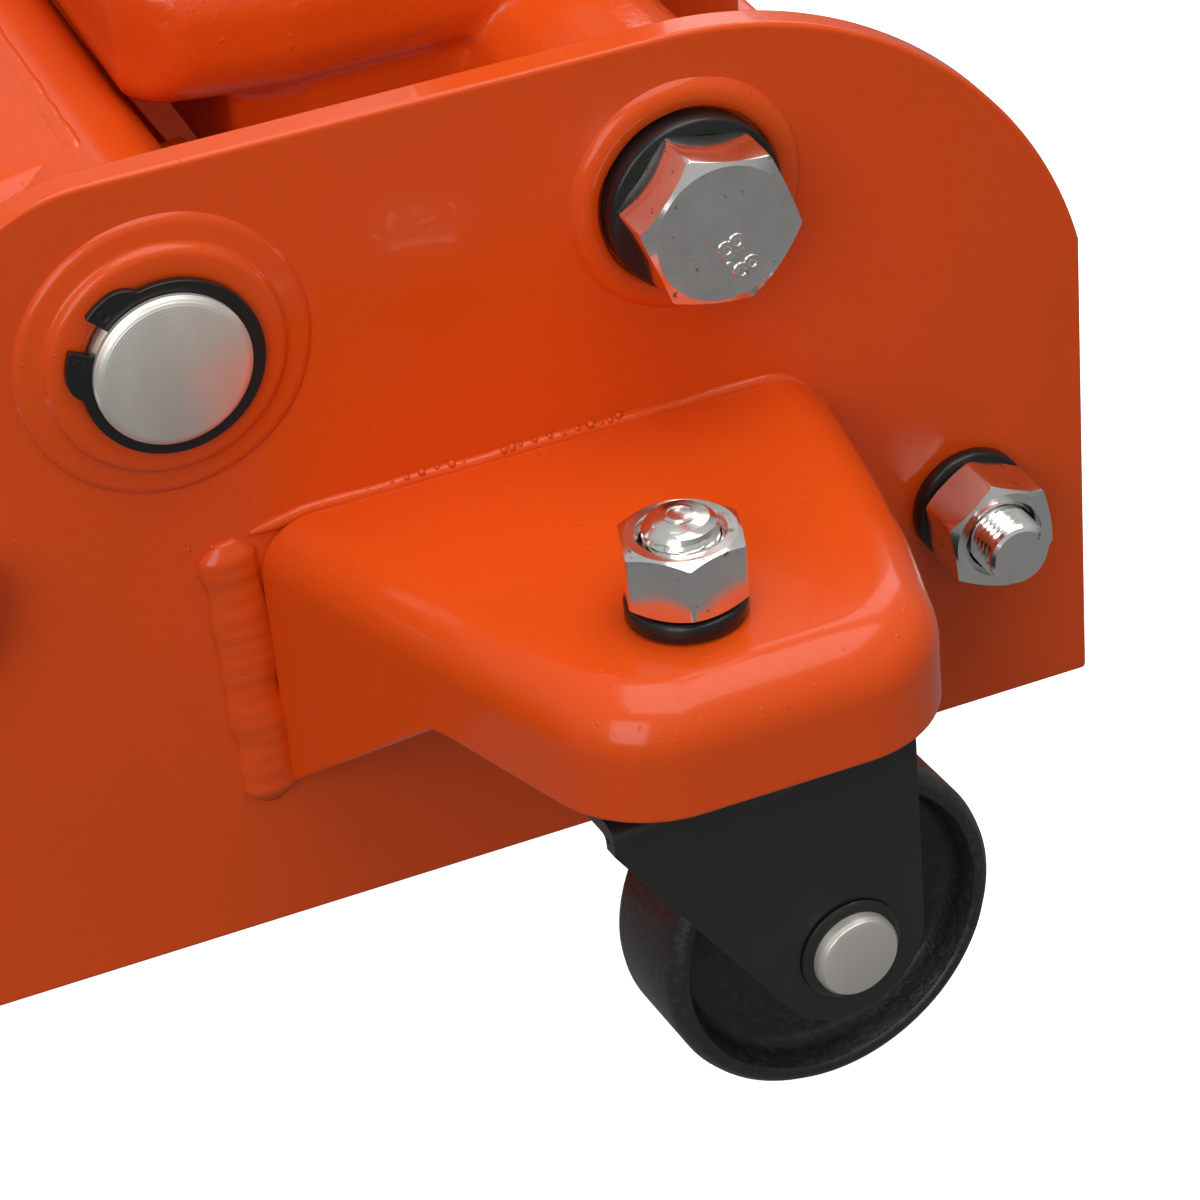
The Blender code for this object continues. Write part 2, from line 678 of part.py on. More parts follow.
def build_caster(mark, side):
    axis = (side * (HALF_WIDTH + CASTER_REACH), CASTER_AT, 0.0)
    crown_low = FORK_CROWN_TOP - FORK_CROWN
    race_low = FORK_CROWN_TOP + GAP
    race_high = BRACKET_TOP - BRACKET_METAL - GAP
    race_middle = (race_low + race_high) / 2
    race = [(RACE_RADIUS - 0.003, race_high), (RACE_RADIUS, race_high - 0.003),
            (RACE_RADIUS, race_middle + 0.001), (RACE_RADIUS - 0.0025, race_middle),
            (RACE_RADIUS, race_middle - 0.001), (RACE_RADIUS, race_low + 0.003),
            (RACE_RADIUS - 0.003, race_low), (RACE_BORE, race_low), (RACE_BORE, race_high)]
    put(turned("caster_race_" + mark, race, BLACK_PAINT, ring=True), root, axis)

    washer_low = BRACKET_TOP + GAP
    nut_low = washer_low + NUT_WASHER + GAP
    top = nut_low + NUT_HEIGHT + STEM_PROUD
    head_top = crown_low - GAP
    stem = [(0.0, top), (STEM_RADIUS * 0.6, top - 0.0003), (STEM_RADIUS, top - 0.0015),
            (STEM_RADIUS, head_top), (STEM_HEAD_RADIUS, head_top),
            (STEM_HEAD_RADIUS, head_top - STEM_HEAD), (0.0, head_top - STEM_HEAD)]
    put(turned("caster_stem_" + mark, stem, ZINC, steps=SMALL_STEPS), root, axis)
    bore = STEM_RADIUS + GAP
    ring = tube_profile(NUT_WASHER_RADIUS, bore, washer_low, washer_low + NUT_WASHER)
    put(turned("caster_washer_" + mark, ring, OXIDE, steps=SMALL_STEPS, ring=True), root, axis)
    nut_place = (axis[0], axis[1], nut_low + NUT_HEIGHT / 2)
    build_nut("caster_nut_" + mark, nut_place, (0.0, 0.0, math.radians(14)), bore)

    swivel = empty("caster_swivel_" + mark, axis, root, (0.0, 0.0, side * math.radians(CASTER_TURN)))
    cheek_inner = CASTER_WHEEL_WIDTH / 2 + FORK_GAP
    cheek_top = FORK_CROWN_TOP - FORK_STEP
    cheek_outline = around([
        (CASTER_TRAIL, CASTER_WHEEL_RADIUS, FORK_TIP_RADIUS),
        (-FORK_FRONT, cheek_top, 0.0),
        (CASTER_TRAIL + FORK_TIP_RADIUS, cheek_top, 0.0),
    ])
    rear = CASTER_TRAIL + FORK_TIP_RADIUS - FORK_STEP
    wide = cheek_inner + FORK_METAL - FORK_STEP
    crown_outline = around([(0.0, 0.0, CROWN_RADIUS), (wide, rear, 0.0), (-wide, rear, 0.0)], 32)
    fork = plate("caster_fork_" + mark, crown_outline, FORK_CROWN, BLACK_PAINT)
    put(fork, swivel, (0.0, 0.0, FORK_CROWN_TOP - FORK_CROWN / 2))
    join(fork, *(
        put(plate("fork_cheek_" + mark, cheek_outline, FORK_METAL), swivel,
            (hand * (cheek_inner + FORK_METAL / 2), 0.0, 0.0), SIDE_TURN)
        for hand in (-1, 1)
    ))
    axle_place = (0.0, CASTER_TRAIL, CASTER_WHEEL_RADIUS)
    crown_place = (0.0, 0.0, FORK_CROWN_TOP)
    cut(fork, hole("fork_hole_" + mark, swivel, axle_place, CASTER_AXLE_RADIUS + GAP, 0.03),
        hole("crown_hole_" + mark, swivel, crown_place, STEM_RADIUS + RUNNING, 0.01, (0, 0, 0)))

    head = cheek_inner + FORK_METAL + GAP
    upper = [(0.0, head + CASTER_RIVET), (CASTER_RIVET_RADIUS - 0.0008, head + CASTER_RIVET),
             (CASTER_RIVET_RADIUS, head + CASTER_RIVET - 0.0008), (CASTER_RIVET_RADIUS, head),
             (CASTER_AXLE_RADIUS, head)]
    both_ends = upper + [(r, -h) for r, h in reversed(upper)]
    axle = turned("caster_axle_" + mark, both_ends, TURNED, steps=SMALL_STEPS)
    put(axle, swivel, axle_place, SIDE_TURN)

    half = CASTER_WHEEL_WIDTH / 2
    rim = CASTER_WHEEL_RADIUS
    bore = CASTER_AXLE_RADIUS + RUNNING
    hub_end = cheek_inner - GAP
    upper = [(CASTER_HUB_RADIUS, hub_end), (CASTER_HUB_RADIUS + 0.001, half - CASTER_RECESS),
             (rim - CASTER_RIM - 0.001, half - CASTER_RECESS), (rim - CASTER_RIM, half),
             (rim - 0.0012, half), (rim, half - 0.0015)]
    profile = upper + [(r, -h) for r, h in reversed(upper)] + [(bore, -hub_end), (bore, hub_end)]
    wheel = turned("caster_wheel_" + mark, profile, IRON, steps=WHEEL_STEPS, ring=True)
    put(wheel, swivel, axle_place, SIDE_TURN)


def build_arm():
    pivot = empty("lift_axis", (0.0, 0.0, PIVOT_HEIGHT), root)
    run = Vector((SADDLE_AT, SADDLE_PIVOT_HEIGHT - PIVOT_HEIGHT))
    length = run.length
    fall = math.atan2(-run.y, -run.x)
    tip_angle = math.radians(180) + fall

    along = Vector((0.0, math.cos(tip_angle), math.sin(tip_angle)))
    up = Vector((0.0, -math.sin(fall), math.cos(fall)))

    def leaning(shape, x):
        """Stand a shape drawn in (along the arm, up) in the jack's middle plane, moved sideways by x."""
        turn = Matrix((along, up, along.cross(up))).transposed().to_4x4()
        shape.parent = pivot
        shape.matrix_local = Matrix.Translation((x, 0.0, 0.0)) @ turn
        return shape

    inside_top = HUB_RADIUS - ARM_PLATE / 2
    web_outline = arc((0, 0), inside_top, 180, 90, 6)
    web_outline += arc((length, 0), WEB_TIP_RADIUS, 90, -90, 12)
    web_outline += arc((0, 0), WEB_DEPTH, 270, 180, 8)
    arm = rod("lift_arm", HUB_RADIUS, -HUB_HALF_LENGTH, HUB_HALF_LENGTH, PAINT)
    put(arm, pivot, (0.0, 0.0, 0.0), SIDE_TURN)
    angle = math.radians(-90 + LEVER_ANGLE)
    foot = (LEVER_LENGTH * math.cos(angle), LEVER_LENGTH * math.sin(angle))
    foot_outline = around([(0, 0, HUB_RADIUS - 0.001), (*foot, LEVER_TIP_RADIUS)])
    post_place = along * SPRING_POST_ALONG - up * SPRING_POST_BELOW
    pieces = []
    for mark, side in SIDES:
        web = leaning(plate("web_" + mark, web_outline, WEB), side * (WEB_INNER + WEB / 2))
        lever = plate("lever_" + mark, foot_outline, LEVER)
        post = rod("post_" + mark, SPRING_POST_RADIUS, -0.010, 0.010, steps=SMALL_STEPS)
        pieces += [
            web,
            put(lever, pivot, (side * (LEVER_INNER + LEVER / 2), 0, 0), SIDE_TURN),
            put(post, pivot, (side * (WEB_INNER + WEB + 0.008), post_place.y, post_place.z), SIDE_TURN),
        ]
    deck_outline = rounded([
        (0.0, -ARM_PLATE_HALF, 0.0), (ARM_FLARE_FROM, -ARM_PLATE_HALF, 0.03),
        (ARM_FLARE_TO, -ARM_NOSE_HALF, 0.05),
        (length - ARM_PLATE_SHORT, -ARM_NOSE_HALF, 0.008), (length - ARM_PLATE_SHORT, ARM_NOSE_HALF, 0.008),
        (ARM_FLARE_TO, ARM_NOSE_HALF, 0.05), (ARM_FLARE_FROM, ARM_PLATE_HALF, 0.03),
        (0.0, ARM_PLATE_HALF, 0.0),
    ], 4)
    deck = plate("deck", deck_outline, ARM_PLATE)
    deck.parent = pivot
    turn = Matrix((along, up.cross(along), up)).transposed().to_4x4()
    deck.matrix_local = Matrix.Translation(up * (HUB_RADIUS - ARM_PLATE / 2)) @ turn
    join(arm, deck, *pieces)
    foot_place = (0.0, foot[0], foot[1])
    cut(arm, hole("tip_bore", pivot, (0, run.x, run.y), SEAT_PIN_RADIUS + GAP, 0.2),
        hole("foot_bore", pivot, foot_place, ROLLER_TRUNNION + RUNNING, 0.04),
        hole("hub_bore", pivot, (0, 0, 0), SHAFT_RADIUS + RUNNING, 0.2))

    face = LEVER_INNER - 0.0006
    upper = [(0.0, LEVER_INNER + LEVER), (ROLLER_TRUNNION, LEVER_INNER + LEVER), (ROLLER_TRUNNION, face),
             (ROLLER_RADIUS - 0.001, face), (ROLLER_RADIUS, face - 0.001)]
    roller = turned("ram_roller", upper + [(r, -h) for r, h in reversed(upper)], TURNED)
    put(roller, pivot, foot_place, SIDE_TURN)
    return foot[0] + ROLLER_RADIUS + ROLLER_TO_RAM


def build_ram(face):
    ram = rod("ram", RAM_RADIUS, face, face + RAM_LENGTH, CHROME, chamfer=0.001)
    put(ram, root, (0.0, 0.0, RAM_HEIGHT), ALONG_TURN)
    low = face + CYLINDER_AHEAD
    high = low + CYLINDER_LENGTH
    bore = RAM_RADIUS + RUNNING
    profile = [(0.0, high), (CYLINDER_RADIUS - 0.002, high), (CYLINDER_RADIUS, high - 0.002),
               (CYLINDER_RADIUS, low), (bore, low), (bore, high - CYLINDER_END), (0.0, high - CYLINDER_END)]
    put(turned("ram_cylinder", profile, BLACK_PAINT), root, (0.0, 0.0, RAM_HEIGHT), ALONG_TURN)


def build_saddle():
    place = (0.0, SADDLE_AT, SADDLE_PIVOT_HEIGHT)
    axis = empty("saddle_axis", place, root)
    pin_end = WEB_INNER + WEB + 0.006
    seat_pin = rod("seat_pin", SEAT_PIN_RADIUS, -pin_end, pin_end, ZINC, chamfer=0.001, steps=SMALL_STEPS)
    put(seat_pin, axis, turn=SIDE_TURN)
    link_end = LINK_INNER + LINK + 0.004
    link_place = (0.0, -LINK_BACK, -LINK_BELOW)
    pin = rod("link_pin", LINK_PIN_RADIUS, -link_end, link_end, ZINC, chamfer=0.001, steps=SMALL_STEPS)
    put(pin, axis, link_place, SIDE_TURN)

    rise = SEAT_TOP - SADDLE_PIVOT_HEIGHT
    barrel = SEAT_HALF - SEAT_CHEEK / 2
    seat = rod("saddle_seat", SEAT_PIN_RADIUS + 0.0055, -barrel, barrel, IRON)
    put(seat, axis, turn=SIDE_TURN)
    cheek = around([(0.0, 0.0, SEAT_PIN_RADIUS + 0.007), (-LINK_BACK, -LINK_BELOW, LINK_PIN_RADIUS + 0.005)])
    lugs = [
        put(plate("seat_cheek_" + mark, cheek, SEAT_CHEEK), axis,
            (side * (SEAT_HALF - SEAT_CHEEK / 2), 0, 0), SIDE_TURN)
        for mark, side in SIDES
    ]
    join(seat, put(rod("seat_post", SEAT_POST_RADIUS, 0.002, rise), axis), *lugs)
    stem_bore = bore("stem_bore", SADDLE_STEM_RADIUS + RUNNING, rise - SADDLE_STEM - 2 * GAP, rise + 0.01)
    cut(seat, put(stem_bore, axis), hole("seat_bore", axis, (0, 0, 0), SEAT_PIN_RADIUS + RUNNING, 0.2),
        hole("seat_link_bore", axis, link_place, LINK_PIN_RADIUS + GAP, 0.2))

    floor = rise + GAP
    dish = floor + SADDLE_FLOOR
    lip = floor + SADDLE_LIP_HEIGHT
    profile = [
        (0.0, dish), (SADDLE_RADIUS - SADDLE_LIP, dish), (SADDLE_RADIUS - SADDLE_LIP, lip),
        (SADDLE_RADIUS - 0.002, lip), (SADDLE_RADIUS, lip - 0.002), (SADDLE_RADIUS, floor + 0.004),
        (SADDLE_RADIUS - 0.006, floor), (SADDLE_STEM_RADIUS, floor), (SADDLE_STEM_RADIUS, rise - SADDLE_STEM),
        (0.0, rise - SADDLE_STEM),
    ]
    put(turned("saddle", profile, IRON, steps=WHEEL_STEPS), axis)
    pad_radius = SADDLE_RADIUS - SADDLE_LIP - GAP
    pad_low = dish + GAP
    pad = rod("saddle_pad", pad_radius, pad_low, pad_low + PAD, RUBBER, chamfer=0.0015, steps=WHEEL_STEPS)
    put(pad, axis)


def build_links():
    run = (LINK_PIN_AT - LINK_BOLT_AT, LINK_PIN_HEIGHT - LINK_BOLT_HEIGHT)
    for mark, side in SIDES:
        axis = empty("link_axis_" + mark, (0.0, LINK_BOLT_AT, LINK_BOLT_HEIGHT), root)
        outline = around([(0.0, 0.0, LINK_END_RADIUS), (*run, LINK_END_RADIUS)])
        place = (side * (LINK_INNER + LINK / 2), 0.0, 0.0)
        bar = put(plate("levelling_link_" + mark, outline, LINK, PAINT), axis, place, SIDE_TURN)
        front = (place[0], *run)
        cut(bar, hole("link_rear_" + mark, axis, place, LINK_PIN_RADIUS + RUNNING, 0.02),
            hole("link_front_" + mark, axis, front, LINK_PIN_RADIUS + RUNNING, 0.02))


def build_unit():
    """The pump casting: a tank and its belly, a block around the cylinder, trunnions and two ears."""
    tank_side = [(UNIT_FRONT, UNIT_HALF - 0.007), (UNIT_FRONT + 0.026, UNIT_HALF), (UNIT_FRONT + 0.066, UNIT_HALF),
                 (UNIT_REAR - 0.018, UNIT_HALF - 0.009), (UNIT_REAR, BLOCK_HALF)]
    tank = [(x, y) for y, x in tank_side] + [(-x, y) for y, x in reversed(tank_side)]
    unit = plate("power_unit_casting", tank, UNIT_TOP - UNIT_BOTTOM, PAINT)
    put(unit, root, (0.0, 0.0, (UNIT_TOP + UNIT_BOTTOM) / 2))
    bend(unit, UNIT_CORNER, 3, 60.0)
    belly_side = [(BELLY_FRONT, BELLY_HALF - 0.009), (BELLY_FRONT + 0.012, BELLY_HALF),
                  (BELLY_REAR - 0.030, BELLY_HALF), (BELLY_REAR, BELLY_HALF - 0.010)]
    belly_outline = [(x, y) for y, x in belly_side] + [(-x, y) for y, x in reversed(belly_side)]
    belly = plate("belly", belly_outline, UNIT_BOTTOM + BELLY_LAP - BELLY_BOTTOM)
    put(belly, root, (0.0, 0.0, (UNIT_BOTTOM + BELLY_LAP + BELLY_BOTTOM) / 2))
    bend(belly, UNIT_CORNER, 3, 60.0)
    low = (-BLOCK_HALF, BLOCK_FRONT, BLOCK_BOTTOM)
    high = (BLOCK_HALF, UNIT_REAR - 0.001, UNIT_BOTTOM + 0.010)
    foot_low = (-BLOCK_HALF + 0.002, BLOCK_FRONT + 0.01, BLOCK_BOTTOM + 0.001)
    foot_high = (BLOCK_HALF - 0.002, BLOCK_REAR, BLOCK_SHELF)
    reach = INSIDE - GAP
    trunnion = rod("trunnions", TRUNNION_RADIUS, -reach, reach)
    lugs = rod("stud_lugs", LUG_RADIUS, -reach, reach)
    ear = around([(YOKE_AT, YOKE_HEIGHT, EAR_RADIUS), (YOKE_AT - EAR_RADIUS - 0.004, SLOT_FLOOR, 0.0),
                  (YOKE_AT + EAR_RADIUS + 0.008, SLOT_FLOOR, 0.0)])
    ears = [
        put(plate("ear_" + mark, ear, EAR), root, (side * (SLOT_HALF + EAR / 2), 0, 0), SIDE_TURN)
        for mark, side in SIDES
    ]
    join(unit, belly, put(block("lower_block", low, high), root),
         put(block("foot_block", foot_low, foot_high), root),
         put(trunnion, root, (0.0, UNIT_BOLT_AT, UNIT_BOLT_HEIGHT), SIDE_TURN),
         put(lugs, root, (0.0, STUD_AT, STUD_HEIGHT), SIDE_TURN), *ears)
    slot = block("yoke_slot", (-SLOT_HALF, SLOT_FRONT, SLOT_FLOOR), (SLOT_HALF, UNIT_REAR + 0.05, 0.3))
    bores = [
        put(slot, root),
        hole("ear_bore", root, (0.0, YOKE_AT, YOKE_HEIGHT), STUB_RADIUS + GAP, HALF_WIDTH),
        put(bore("cylinder_bore", CYLINDER_RADIUS + GAP, 0.0, 0.2), root, (0, 0, RAM_HEIGHT), ALONG_TURN),
    ]
    blind = (
        ("bolt", UNIT_BOLT_AT, UNIT_BOLT_HEIGHT, UNIT_BOLT_RADIUS, UNIT_BOLT_REACH),
        ("stud", STUD_AT, STUD_HEIGHT, STUD_RADIUS, STUD_REACH),
    )
    for mark, side in SIDES:
        for name, along, height, radius, reach_in in blind:
            ends = sorted((side * (HALF_WIDTH - reach_in - 0.002), side * 0.2))
            screw_hole = bore(name + "_bore_" + mark, radius + GAP, ends[0], ends[1])
            bores.append(put(screw_hole, root, (0.0, along, height), SIDE_TURN))
    plunger_at = YOKE_AT + PUMP_CRANK_MEAN
    plunger_top = crank_place()[1] - PUMP_ROLLER_RADIUS - PLUNGER_GAP
    plunger_low = plunger_top - PLUNGER_LENGTH
    bore_low = plunger_low - PLUNGER_STROKE - 0.002
    plunger_bore = bore("plunger_bore", PLUNGER_RADIUS + RUNNING, bore_low, 0.3)
    bores.append(put(plunger_bore, root, (0.0, plunger_at, 0.0)))
    plunger = rod("pump_plunger", PLUNGER_RADIUS, plunger_low, plunger_top, CHROME, 0.001, SMALL_STEPS)
    put(plunger, root, (0.0, plunger_at, 0.0))

    lean = (math.radians(VALVE_SLOPE - 90), 0.0, 0.0)
    valve_axis = empty("valve_axis", (0.0, YOKE_AT, YOKE_HEIGHT), root, lean)
    valve_bore = bore("valve_bore", VALVE_RADIUS + RUNNING, -VALVE_TO - 0.001, 0.0)
    cut(unit, put(valve_bore, valve_axis), *bores)
    valve = rod("release_valve", VALVE_RADIUS, -VALVE_TO, -VALVE_FROM, ZINC, 0.001, SMALL_STEPS)
    put(valve, valve_axis)


def crank_place():
    """The pump roller's centre at rest, along Y and up from the floor."""
    angle = math.radians(PUMP_CRANK_ANGLE)
    return (YOKE_AT + PUMP_CRANK * math.cos(angle), YOKE_HEIGHT + PUMP_CRANK * math.sin(angle))


def build_yoke():
    lean = (math.radians(YOKE_REST - 90), 0.0, 0.0)
    axis = empty("yoke_axis", (0.0, YOKE_AT, YOKE_HEIGHT), root, lean)
    bore = HANDLE_RADIUS + RUNNING
    outer = bore + SOCKET_WALL
    yoke = turned("handle_yoke", tube_profile(outer, bore, SOCKET_FROM, SOCKET_TO), PAINT, ring=True)
    put(yoke, axis)
    offset = math.radians(YOKE_REST - PUMP_CRANK_ANGLE)
    crank = (PUMP_CRANK * math.sin(offset), PUMP_CRANK * math.cos(offset))
    wide = CHEEK_INNER
    cheek = around([(0.0, 0.0, CHEEK_RADIUS), (*crank, PUMP_ROLLER_RADIUS + 0.001), (-wide, SOCKET_FROM + 0.006, 0.0),
                    (wide, SOCKET_FROM + 0.006, 0.0), (-wide * 0.6, SOCKET_FROM + 0.024, 0.0),
                    (wide * 0.6, SOCKET_FROM + 0.024, 0.0)])
    crank_centre = (0.0, *crank)
    join(yoke, *(
        put(plate("yoke_cheek_" + mark, cheek, CHEEK), axis,
            (side * (CHEEK_INNER + CHEEK / 2), 0, 0), SIDE_TURN)
        for mark, side in SIDES
    ))
    cut(yoke, hole("yoke_bore", axis, (0, 0, 0), STUB_RADIUS + RUNNING, 0.1),
        hole("crank_bore", axis, crank_centre, CRANK_PIN_RADIUS + RUNNING, 0.1))
    face = CHEEK_INNER - 0.0006
    end = CHEEK_INNER + CHEEK
    upper = [(0.0, end), (CRANK_PIN_RADIUS, end), (CRANK_PIN_RADIUS, face), (PUMP_ROLLER_RADIUS - 0.0008, face),
             (PUMP_ROLLER_RADIUS, face - 0.0008)]
    roller = turned("pump_roller", upper + [(r, -h) for r, h in reversed(upper)], TURNED, steps=SMALL_STEPS)
    put(roller, axis, crank_centre, SIDE_TURN)
    ear_face = SLOT_HALF + EAR + GAP
    for mark, side in SIDES:
        turn = (math.radians(90), 0.0, side * math.radians(90))
        profile = [(0.0, ear_face + STUB_HEAD), (STUB_HEAD_RADIUS - 0.001, ear_face + STUB_HEAD),
                   (STUB_HEAD_RADIUS, ear_face + STUB_HEAD - 0.001), (STUB_HEAD_RADIUS, ear_face),
                   (STUB_RADIUS, ear_face), (STUB_RADIUS, CHEEK_INNER), (0.0, CHEEK_INNER)]
        pin = turned("yoke_pin_" + mark, profile, ZINC, steps=SMALL_STEPS)
        put(pin, root, (0.0, YOKE_AT, YOKE_HEIGHT), turn)
    build_handle(axis)


def build_handle(axis):
    inner = HANDLE_RADIUS - HANDLE_WALL
    start = SOCKET_FROM + 0.004
    lower = [(0.0, start + 0.03), (inner, start + 0.03), (inner, HANDLE_LOWER_TOP), (HANDLE_RADIUS, HANDLE_LOWER_TOP),
             (HANDLE_RADIUS, start), (TONGUE_RADIUS, start - 0.002), (TONGUE_RADIUS, TONGUE_FROM + 0.001),
             (TONGUE_RADIUS - 0.001, TONGUE_FROM), (0.0, TONGUE_FROM)]
    put(turned("handle_tube", lower, PAINT), axis)
    upper_radius = inner - GAP
    low = HANDLE_LOWER_TOP - HANDLE_OVERLAP
    upper = tube_profile(upper_radius, upper_radius - HANDLE_WALL, low, HANDLE_TOP)
    put(turned("handle_upper_tube", upper, PAINT, ring=True), axis)
    grip_bore = upper_radius + GAP
    grip = grip_bore + GRIP_WALL
    end = HANDLE_TOP + GAP
    cap = end + GRIP_CAP
    low = HANDLE_TOP - GRIP_LENGTH
    profile = [(0.0, cap), (grip - 0.004, cap), (grip, cap - 0.004), (grip, low + 0.002), (grip - 0.002, low),
               (grip_bore, low), (grip_bore, end), (0.0, end)]
    put(turned("handle_grip", profile, RUBBER), axis)


def build_springs():
    """Each spring is the closed outer shape of its coil, from the floor brace up to the arm's post."""
    run = Vector((SADDLE_AT, SADDLE_PIVOT_HEIGHT - PIVOT_HEIGHT)).normalized()
    up = Vector((run.y, -run.x))
    post = Vector((0.0, PIVOT_HEIGHT)) + run * SPRING_POST_ALONG - up * SPRING_POST_BELOW
    foot = Vector((SPRING_LUG_AT, SPRING_LUG_TOP))
    way = post - foot
    for mark, side in SIDES:
        coil = rod("return_spring_" + mark, SPRING_RADIUS, SPRING_CLEAR, way.length - SPRING_CLEAR, ZINC,
                   chamfer=0.002, steps=16)
        lean = math.atan2(way.y, way.x) - math.radians(90)
        put(coil, root, (side * SPRING_SIDE, foot.x, foot.y), (lean, 0.0, 0.0))


def centre_on_footprint():
    """Move the root so that the origin is the middle of the whole jack's box, at floor level."""
    bpy.context.view_layer.update()
    scene_graph = bpy.context.evaluated_depsgraph_get()
    ends = []
    for shape in jack.objects:
        if shape.type == "MESH":
            solid = shape.evaluated_get(scene_graph)
            mesh = solid.to_mesh()
            ends += [(solid.matrix_world @ point.co).y for point in mesh.vertices]
            solid.to_mesh_clear()
    root.location.y = -(min(ends) + max(ends)) / 2


build_shaft()
build_floor_brace()
build_front_axle()
build_studs()
build_unit_bolts()
for mark, side in SIDES:
    build_side_plate(mark, side)
    build_bracket(mark, side)
    build_caster(mark, side)
ram_face = build_arm()
build_ram(ram_face)
build_saddle()
build_links()
build_unit()
build_yoke()
build_springs()
centre_on_footprint()
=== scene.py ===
"""Looks of a hydraulic trolley jack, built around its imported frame.

The frame gives the places; here come the fine metalwork (pressed bracket, welds, threads, hexagons,
rings, wheels, coils) and the finishes: thick orange paint, zinc plate, black oxide and cast iron.
Lengths are in metres. "Along" is measured from the lift arm's pivot towards the handle, "out" from the
side plates' outer faces.
"""

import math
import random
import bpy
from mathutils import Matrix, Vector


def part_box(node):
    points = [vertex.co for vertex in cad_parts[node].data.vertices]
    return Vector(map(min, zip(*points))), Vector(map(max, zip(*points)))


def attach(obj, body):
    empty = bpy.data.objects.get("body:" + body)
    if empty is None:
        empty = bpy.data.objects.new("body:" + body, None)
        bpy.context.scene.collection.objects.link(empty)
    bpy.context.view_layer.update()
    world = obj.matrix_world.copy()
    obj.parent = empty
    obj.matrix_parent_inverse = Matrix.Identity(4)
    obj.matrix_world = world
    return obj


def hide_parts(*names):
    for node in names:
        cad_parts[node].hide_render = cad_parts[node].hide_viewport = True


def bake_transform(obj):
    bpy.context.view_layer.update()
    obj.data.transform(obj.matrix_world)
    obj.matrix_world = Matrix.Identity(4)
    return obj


bl_info = {
    "name": "Trolley jack looks",
    "version": (1, 0, 0),
    "blender": (4, 5, 0),
    "location": "View3D > Sidebar > Trolley jack",
    "description": "Builds a trolley jack's fine pieces and finishes around its frame",
    "category": "Object",
}

import bmesh
import bpy
from mathutils import Euler, Matrix, Vector, noise

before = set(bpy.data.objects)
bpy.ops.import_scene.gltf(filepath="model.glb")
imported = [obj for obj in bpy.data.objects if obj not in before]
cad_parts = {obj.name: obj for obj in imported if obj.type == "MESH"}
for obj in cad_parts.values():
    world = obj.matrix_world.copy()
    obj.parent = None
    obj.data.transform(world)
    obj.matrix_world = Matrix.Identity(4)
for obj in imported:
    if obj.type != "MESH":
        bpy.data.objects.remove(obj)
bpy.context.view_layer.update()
SIDES = (("L", 1.0), ("R", -1.0))


def middle(node):
    low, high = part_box(node)
    return (low + high) / 2


# Places, from the frame
PIVOT = middle("pivot_shaft")
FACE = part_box("unit_bolt_washer_L")[0].x - 0.0003   # middle plane to a side plate's outer face
PLATE_LOW, PLATE_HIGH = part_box("side_plate_L")
PLATE_TOP = PLATE_HIGH.z
PLATE_BOTTOM = PLATE_LOW.z
PLATE_REAR = PLATE_HIGH.y - PIVOT.y
PLATE_THICK = 0.006
WHEEL_LOW, WHEEL_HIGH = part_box("front_wheel_L")
FRONT_AXLE = Vector((0.0, (WHEEL_LOW.y + WHEEL_HIGH.y) / 2 - PIVOT.y, (WHEEL_LOW.z + WHEEL_HIGH.z) / 2))
STEM = middle("caster_stem_L")
BRACKET_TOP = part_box("caster_bracket_L")[1].z
BRACKET_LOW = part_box("caster_bracket_L")[0].z
BOLT = middle("unit_bolt_washer_L")
STUD = middle("unit_stud_L")
LINK_BOLT = middle("link_bolt_L")
SEAT = middle("seat_pin")
SADDLE = middle("saddle")
SPRING_FOOT_ALONG = -0.150   # return springs' lower ends, along and above the floor
SPRING_FOOT_HEIGHT = 0.034
YOKE_ALONG = 0.092
YOKE_HEIGHT = 0.172
HANDLE_SLOPE = math.radians(75)

# Fastener sizes
NUT_FLATS = 0.018
NUT_BORE = 0.0061
SHARP_METAL = 24             # degrees between faces above which a hexagon or thread stays sharp
SHARP_WELD = 80


# ---------------------------------------------------------------- sizes and colours a user may change

class JackFinish(bpy.types.PropertyGroup):
    paint: bpy.props.FloatVectorProperty(
        name="Paint", description="Colour of the orange paint", subtype="COLOR", size=3,
        min=0.0, max=1.0, default=(0.76, 0.078, 0.006))
    paint_roughness: bpy.props.FloatProperty(
        name="Paint roughness", description="Gloss of the paint", default=0.22, min=0.0, max=1.0,
        subtype="FACTOR")
    orange_peel: bpy.props.FloatProperty(
        name="Orange peel", description="Strength of the paint's waviness", default=0.10, min=0.0, max=1.0,
        subtype="FACTOR")
    zinc: bpy.props.FloatVectorProperty(
        name="Zinc", description="Colour of the plated fasteners", subtype="COLOR", size=3,
        min=0.0, max=1.0, default=(0.86, 0.85, 0.82))
    turned: bpy.props.FloatVectorProperty(
        name="Turned steel", description="Colour of the turned pin ends", subtype="COLOR", size=3,
        min=0.0, max=1.0, default=(0.80, 0.77, 0.70))
    black: bpy.props.FloatVectorProperty(
        name="Black", description="Colour of the black paint and oxide", subtype="COLOR", size=3,
        min=0.0, max=1.0, default=(0.010, 0.010, 0.010))
    iron: bpy.props.FloatVectorProperty(
        name="Cast iron", description="Colour of the wheels", subtype="COLOR", size=3,
        min=0.0, max=1.0, default=(0.012, 0.012, 0.012))


